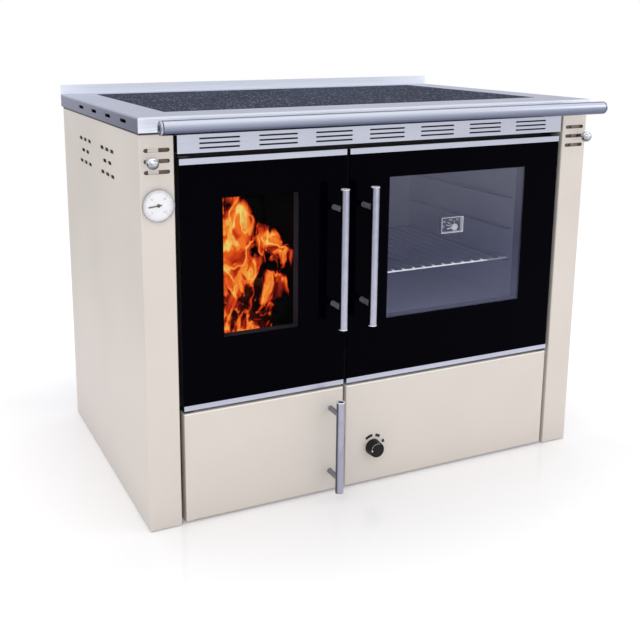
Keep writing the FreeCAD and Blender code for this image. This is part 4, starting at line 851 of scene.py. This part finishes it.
# Shields in the casing: brown-primed plates welded across the backs of the slide guides and behind the vents
# in the sides, so that the air turns sideways behind the slots. Their brown is painted shade, the colour of
# the shaded inside seen through the slots. The right slide's shutter has the same brown as painted shade: a
# shaded copy of the cream shutter of the left slide.

def brown_painted_shade(place):
    cloud = place.noise(45.0, 4.0)
    return {
        "Base Color": cloud.ramp((0.3, (0.17, 0.118, 0.098)), (0.7, (0.27, 0.200, 0.170))),
        "Roughness": 0.7,
    }


BROWN_SHADE = finish("brown_painted_shade", brown_painted_shade)
# The right shutter in painted shade: the left one's cream, darkened.
dress(BROWN_SHADE, "right_slide_plate")

SHIELD_W = 0.058
SHIELD_H = 0.062
SHIELD_T = 0.0015
guides_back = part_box("slide_guides")[1].y
card_low, card_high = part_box("gauge_dial")
card = (card_low + card_high) / 2
shields = bmesh.new()
for ball in BALLS:
    ball_low, ball_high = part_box(ball)
    x = card.x if ball_low.x < 0 else -card.x
    z = (ball_low.z + ball_high.z) / 2
    block(
        shields, (x - SHIELD_W / 2, guides_back, z - SHIELD_H / 2),
        (x + SHIELD_W / 2, guides_back + SHIELD_T, z + SHIELD_H / 2),
    )
piece("slide_shade_plates", shields, BROWN_SHADE, "stove")

VENT_SHIELD_L = 0.36
VENT_SHIELD_H = 0.09
VENT_SHIELD_Y = 0.022
VENT_SHIELD_DROP = 0.07
VENT_SHIELD_GAP = 0.0065
side_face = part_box("side_panel_right")[1].x
shield_top = hob_high.z - VENT_SHIELD_DROP
vent_shade_plates = bmesh.new()
for side in (-1, 1):
    x = side * (side_face - VENT_SHIELD_GAP)
    block(
        vent_shade_plates, (x - SHIELD_T / 2, VENT_SHIELD_Y - VENT_SHIELD_L / 2, shield_top - VENT_SHIELD_H),
        (x + SHIELD_T / 2, VENT_SHIELD_Y + VENT_SHIELD_L / 2, shield_top),
    )
piece("vent_shade_plates", vent_shade_plates, BROWN_SHADE, "stove")


# Dial thermometer in the left column: a grey pressed case let into a round hole, a white printed card, a
# thin black pointer and a flat glass over them.

def case_grey(place):
    haze = place.noise(50.0, 2.0)
    return {
        "Base Color": haze.ramp((0.3, (0.44, 0.44, 0.46)), (0.7, (0.54, 0.54, 0.56))),
        "Metallic": 0.7,
        "Roughness": 0.32 + haze * 0.1,
    }


def dial_card(place):
    tone = place.noise(30.0, 2.0)
    return {
        "Base Color": tone.ramp((0.3, (0.84, 0.83, 0.87)), (0.7, (0.90, 0.89, 0.92))),
        "Roughness": 0.6,
    }


def gauge_cover(place):
    return {
        "Base Color": place.noise(25.0).ramp((0.3, (0.86, 0.86, 0.87)), (0.7, (0.92, 0.92, 0.93))),
        "Roughness": 0.05,
        "Specular IOR Level": 0.2,
        "Alpha": 0.06,
    }


dress(finish("case_grey", case_grey), "gauge_case")
dress(finish("dial_card", dial_card), "gauge_dial")
dress(finish("gauge_cover", gauge_cover), "gauge_glass")
dress(DARK_PRINT_AND_SHADE, "gauge_needle")
FAINT_PRINT = finish("faint_print", ink((0.30, 0.30, 0.32), (0.40, 0.40, 0.42), 0.6))

SCALE_START = 225
SCALE_SWEEP = 270
SCALE_MARKS = 48
SCALE_TOP = 120
LONG_EVERY = 8
LONG_MARK_W = 0.0007
SHORT_MARK_W = 0.0004
FIGURE_H = 0.0052
card_r = (card_high.x - card_low.x) / 2
print_y = card_low.y - PRINT_T
scale = bmesh.new()
for i in range(SCALE_MARKS + 1):
    degrees = SCALE_START - i * SCALE_SWEEP / SCALE_MARKS
    inner, width = (0.76, LONG_MARK_W) if i % LONG_EVERY == 0 else (0.84, SHORT_MARK_W)
    fan_line(scale, card, card_r * inner, card_r * 0.92, degrees, width, print_y, card_low.y)
for i in range(0, SCALE_MARKS + 1, 2 * LONG_EVERY):
    degrees = SCALE_START - i * SCALE_SWEEP / SCALE_MARKS
    label = str(i * SCALE_TOP // SCALE_MARKS)
    number(scale, label, FIGURE_H, fan_point(card, card_r * 0.60, degrees, print_y))
piece("gauge_scale", scale, FAINT_PRINT, "stove")


# Thermostat: a black moulded knob with a painted highlight, a pale arc along the upper edge of its face, and
# a pale dot, the grey body behind the panel, and thick arcs printed on the panel round the knob. The magnetic
# door catches have grey cases too.

def moulded_black(place):
    grit = place.noise(900.0, 2.0)
    return {
        "Base Color": place.noise(60.0).ramp((0.3, (0.006, 0.005, 0.005)), (0.7, (0.011, 0.010, 0.010))),
        "Roughness": 0.36 + grit * 0.12,
        "Specular IOR Level": 0.22,
        "Normal": grit.bump(0.08, 0.0002),
    }


def moulded_grey(place):
    grit = place.noise(700.0, 2.0)
    return {
        "Base Color": place.noise(40.0).ramp((0.3, (0.12, 0.12, 0.13)), (0.7, (0.17, 0.17, 0.18))),
        "Roughness": 0.6,
        "Normal": grit.bump(0.1, 0.0002),
    }


def arc(mesh, centre, radius, width, start, end, front, back):
    """Adds a flat arc that faces the front, clockwise between two angles."""
    inner, outer = radius - width / 2, radius + width / 2
    corners = ((inner, front), (outer, front), (outer, back), (inner, back))
    first = mesh.faces.new([mesh.verts.new(fan_point(centre, r, start, y)) for r, y in corners])
    turn = math.radians(start - end)
    bmesh.ops.spin(mesh, geom=[first], cent=centre, axis=(0, 1, 0), angle=turn, steps=14)


dress(finish("moulded_black", moulded_black), "thermostat_knob")
dress(finish("moulded_grey", moulded_grey), "thermostat_body", "door_catches")

KNOB_HIGHLIGHT_R = 0.0156
KNOB_HIGHLIGHT_W = 0.0004
KNOB_DOT_R = 0.0018
KNOB_DOT_OUT = 0.0134
ARC_R = 0.028
ARC_W = 0.0066
knob_low, knob_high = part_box("thermostat_knob")
knob = (knob_low + knob_high) / 2
panel_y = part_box("lower_panel")[0].y
# Painted highlight: a thin pale arc where the chamfered edge of the knob's face would catch the light.
highlight_arc = bmesh.new()
arc(highlight_arc, knob, KNOB_HIGHLIGHT_R, KNOB_HIGHLIGHT_W, 172, 70, knob_low.y - PRINT_T, knob_low.y + PRINT_T)
piece("knob_painted_highlight", highlight_arc, PAINTED_HIGHLIGHT_METAL, "thermostat_dial")
dot = bmesh.new()
spot = Matrix.Translation((knob.x - KNOB_DOT_OUT, knob_low.y, knob.z)) @ Matrix.Rotation(math.pi / 2, 4, "X")
bmesh.ops.create_cone(
    dot, cap_ends=True, segments=24, radius1=KNOB_DOT_R, radius2=KNOB_DOT_R, depth=2 * PRINT_T, matrix=spot
)
piece("knob_dot", dot, PALE_PRINT, "thermostat_dial")
arcs = bmesh.new()
for start, end in ((130, 93), (77, 52), (28, 12)):
    arc(arcs, knob, ARC_R, ARC_W, start, end, panel_y - PRINT_T, panel_y)
piece("panel_arcs", arcs, DARK_PRINT_AND_SHADE, "stove")


# Levelling feet: four black rubber pads on studs, screwed up into the base plate. They hold the stove clear
# of the floor.

def foot_rubber(place):
    grit = place.noise(500.0, 2.0)
    return {
        "Base Color": grit.ramp((0.3, (0.018, 0.018, 0.018)), (0.7, (0.04, 0.04, 0.04))),
        "Roughness": 0.8,
        "Normal": grit.bump(0.2, 0.0004),
    }


dress(finish("foot_rubber", foot_rubber), "levelling_feet")


# Fire: three split logs on the grate, charred and glowing in their cracks, and three sheets of flame that
# stand behind one another above them.

def log_bark(place):
    bark = place.stretched((1.0, 0.25, 1.0)).noise(90.0, 4.0)
    char = place.noise(22.0, 3.0).step(0.45, 0.60)
    glow = place.noise(45.0, 4.0).step(0.62, 0.70)
    return {
        "Base Color": char.mix(colour(0.085, 0.045, 0.024), colour(0.008, 0.007, 0.006)),
        "Roughness": 0.95,
        "Emission Color": glow.mix(colour(0, 0, 0), colour(1.0, 0.12, 0.01)),
        "Emission Strength": 1.0,
        "Normal": bark.bump(0.9, 0.003),
    }


LOG_TAPER = 0.92
LOG_WAVE = Vector((0.0016, 0, 0.0012))
grate_low, grate_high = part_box("grate")
fire = (grate_low + grate_high) / 2
logs = bmesh.new()
for aside, up, radius, length, turn in (
    (-0.055, 0.040, 0.040, 0.33, 4.0), (0.050, 0.038, 0.038, 0.35, -5.0), (-0.002, 0.104, 0.036, 0.32, 9.0),
):
    place = Matrix.Translation((fire.x + aside, fire.y, grate_high.z + up))
    place = place @ Matrix.Rotation(math.radians(turn), 4, "Z") @ Matrix.Rotation(math.pi / 2, 4, "X")
    trunk = bmesh.ops.create_cone(
        logs, cap_ends=True, segments=18,
        radius1=radius, radius2=radius * LOG_TAPER, depth=length, matrix=place,
    )
    sides = [e for e in {e for v in trunk["verts"] for e in v.link_edges} if e.calc_length() > length * 0.8]
    cut = bmesh.ops.subdivide_edges(logs, edges=sides, cuts=7, use_grid_fill=True)
    for vert in {v for e in cut["geom_inner"] for v in (e.verts if hasattr(e, "verts") else [e])}:
        wave = math.sin(vert.co.x * 310.0) * math.sin(vert.co.y * 57.0) + math.sin(vert.co.z * 270.0)
        vert.co += LOG_WAVE * wave
piece("burning_logs", logs, finish("log_bark", log_bark), "stove")

RED_BELOW = 0.55
FLAME_OVER = 0.05
FLAME_CLEAR = 0.002
FLAME_T = 0.0012
FADE_START = 0.004
FADE_FULL = 0.030


def flame(seed, reach_left, reach_right, warmth):
    """Flame whose tips are at one height on the left and another on the right of the window."""
    low, high = fire_window

    def make(place):
        x, z = place.axis("X"), place.axis("Z")
        tips = x.run(low.x, high.x, reach_left, reach_right)
        tall = place.stretched((1.0, 1.0, 0.6), (seed, seed, seed))
        drift = tall.node("TexNoise", None, {"Vector": tall, "Scale": 14.0, "Detail": 3.0}, "Color")
        bent = tall.node(
            "VectorMath", {"operation": "MULTIPLY_ADD"}, {0: drift, 1: (0.07, 0.0, 0.09), 2: tall}
        )
        strand = 1.0 - (bent.noise(29.0, 4.0) - 0.5).size() * 6.0
        mass = bent.noise(15.0, 3.0) - 0.5
        inside = ((tips - z) * 14.0 + mass * 1.1).step(0.0, 0.6)
        inside = inside * x.step(grate_high.x - FADE_START, grate_high.x - FADE_FULL)
        leftward = (high.x - x) * 1.9
        low_right = (x - low.x) * (RED_BELOW - z) * 11.0
        body = mass * 4.4 + leftward + warmth
        crest = 0.12 + bent.noise(40.0, 3.0) * 0.70
        heat = (body.math("MINIMUM", body, crest) + strand.step(0.55, 1.0) * 0.34 - low_right) * inside
        return {
            "Base Color": colour(0, 0, 0),
            "Roughness": 1.0,
            "Specular IOR Level": 0.0,
            "Emission Color": heat.ramp(
                (0.16, (0.0, 0.0, 0.0)), (0.27, (0.13, 0.005, 0.003)), (0.40, (0.60, 0.035, 0.006)),
                (0.54, (1.0, 0.15, 0.014)), (0.70, (1.0, 0.34, 0.04)), (0.92, (1.0, 0.78, 0.20)),
            ),
            "Emission Strength": 1.2,
            "Alpha": heat.step(0.18, 0.32),
        }
    return make


def flame_sheet(name, y, reach_left, reach_right, warmth, seed, bend):
    """A thin upright sheet of flame across the firebox, with a slight wave in it."""
    width = grate_high.x - grate_low.x - 2 * FLAME_CLEAR
    height = fire_window[1].z + FLAME_OVER - grate_high.z
    mesh = bmesh.new()
    bmesh.ops.create_grid(mesh, x_segments=16, y_segments=20, size=0.5)
    bmesh.ops.scale(mesh, vec=(width, height, 1.0), verts=mesh.verts)
    bmesh.ops.rotate(mesh, cent=(0, 0, 0), matrix=Matrix.Rotation(math.pi / 2, 3, "X"), verts=mesh.verts)
    bmesh.ops.translate(mesh, vec=(fire.x, y, grate_high.z + FLAME_CLEAR + height / 2), verts=mesh.verts)
    for vert in mesh.verts:
        vert.co.y += bend * (math.sin(vert.co.z * 23.0 + seed) + math.cos(vert.co.x * 31.0 + seed))
    bmesh.ops.solidify(mesh, geom=mesh.faces[:], thickness=FLAME_T)
    made = piece(name, mesh, finish(name, flame(seed, reach_left, reach_right, warmth)), "stove")
    made.visible_glossy = False


pane_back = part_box("fire_door_inner_glass")[1].y
flame_sheet("flame_front", pane_back + 0.036, 0.755, 0.590, 0.15, 5.60, 0.004)
flame_sheet("flame_middle", pane_back + 0.110, 0.720, 0.560, 0.09, 1.83, 0.010)
flame_sheet("flame_back", pane_back + 0.215, 0.620, 0.490, 0.04, 4.21, 0.012)


# Room: a pale floor that fades into a white surround, and even, soft studio light. Dark flags in the
# surround show only in reflections, where they give the steel its bands.

FLOOR_R = 6.0
floor_mesh = bmesh.new()
bmesh.ops.create_circle(floor_mesh, cap_ends=True, segments=96, radius=FLOOR_R)
floor_data = bpy.data.meshes.new("floor")
floor_mesh.to_mesh(floor_data)
floor_mesh.free()
floor = bpy.data.objects.new("floor", floor_data)
bpy.context.scene.collection.objects.link(floor)

case_low, case_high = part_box("side_panel_left")[0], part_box("side_panel_right")[1]
GLOSS_REACH = 0.42
SHADE_REACH = 0.50


def pale_floor(place):
    """Matt white floor with a gloss that fades out in front of the stove."""
    x, y = place.axis("X"), place.axis("Y")
    away = (x.size() - case_high.x).most(y.size() + case_low.y)
    radius = place.node("VectorMath", {"operation": "LENGTH"}, {0: place}, "Value")
    behind = x.step(-0.6, -1.2) * y.step(0.0, 0.8)
    shade = behind.most(radius.step(2.4, 0.8))
    dark = behind.mix(colour(0.80, 0.77, 0.82), colour(0.20, 0.20, 0.26))
    reflected = place.node("LightPath", None, None, "Is Glossy Ray")
    lift = away.step(0.0, SHADE_REACH).mix(colour(0.070, 0.068, 0.080), colour(0.17, 0.17, 0.17))
    return {
        "Base Color": (shade * reflected).mix(colour(0.97, 0.97, 0.97), dark),
        "Roughness": 0.9,
        "Specular IOR Level": 0.0,
        "Coat Weight": away.step(GLOSS_REACH, 0.0),
        "Coat Roughness": 0.07,
        "Emission Color": lift,
        "Emission Strength": 1.0,
        "Alpha": radius.step(3.4, 0.8),
    }


floor.data.materials.append(finish("pale_floor", pale_floor))

FILL = 0.99
world = bpy.data.worlds.new("studio")
bpy.context.scene.world = world
world.use_nodes = True
sky = world.node_tree
surround = sky.nodes["Background"]
light_path = sky.nodes.new("ShaderNodeLightPath").outputs
seen = Socket(sky, light_path["Is Camera Ray"]).most(Socket(sky, light_path["Is Transmission Ray"]))
glossy = Socket(sky, light_path["Is Glossy Ray"])
direction = Socket(sky, sky.nodes.new("ShaderNodeTexCoord").outputs["Generated"])
across, depth, up = direction.axis("X"), direction.axis("Y"), direction.axis("Z")
flag_right = across.step(0.60, 0.95) * 0.45
flag_back = across.step(-0.05, -0.35) * depth.step(0.0, 0.4) * up.step(0.05, -0.12)
flag_left = across.step(-0.10, -0.40) * depth.step(0.1, -0.3) * 0.35
flag_top = depth.step(0.3, 0.7) * up.step(-0.05, 0.10) * 0.30
flags = flag_right + flag_back + flag_left + flag_top
softbox = 1.0 - flags + 0.35 * up.step(0.45, 0.85)
strength = seen.most(glossy * softbox) + (1.0 - seen.most(glossy)) * FILL
sky.links.new(strength.socket, surround.inputs["Strength"])
tint = (flags * glossy).mix(colour(1, 1, 1), colour(0.78, 0.82, 1.12))
sky.links.new(tint.socket, surround.inputs["Color"])


def lamp(name, place, target, size, watts):
    light = bpy.data.lights.new(name, "AREA")
    light.shape = "RECTANGLE"
    light.size, light.size_y = size
    light.energy = watts
    made = bpy.data.objects.new(name, light)
    made.location = place
    made.rotation_euler = (Vector(target) - Vector(place)).to_track_quat("-Z", "Y").to_euler()
    bpy.context.scene.collection.objects.link(made)


lamp("key", (-1.9, -2.9, 2.7), (0, 0, 0.45), (2.0, 1.6), 15.0)
lamp("side", (2.8, -1.6, 1.9), (0, 0, 0.5), (1.6, 1.6), 8.0)


# Camera at the photograph's viewing angle: turned to the right, tilted down and hardly rolled, with the
# lens shifted.

CAMERA_TURN = -0.41837
CAMERA_DOWN = 0.21092
CAMERA_ROLL = -0.00203
camera_data = bpy.data.cameras.new("camera")
camera = bpy.data.objects.new("camera", camera_data)
bpy.context.scene.collection.objects.link(camera)
camera_data.sensor_width = 36.0
camera_data.lens = 51.353
camera_data.shift_x = 0.0859
camera_data.shift_y = -0.1484
camera.location = (-1.01527, -1.97112, 1.00885)
look = Matrix.Rotation(CAMERA_TURN, 4, "Z") @ Matrix.Rotation(math.pi / 2 - CAMERA_DOWN, 4, "X")
camera.rotation_euler = (look @ Matrix.Rotation(CAMERA_ROLL, 4, "Z")).to_euler()
bpy.context.scene.camera = camera
bpy.context.scene.view_settings.view_transform = "Standard"
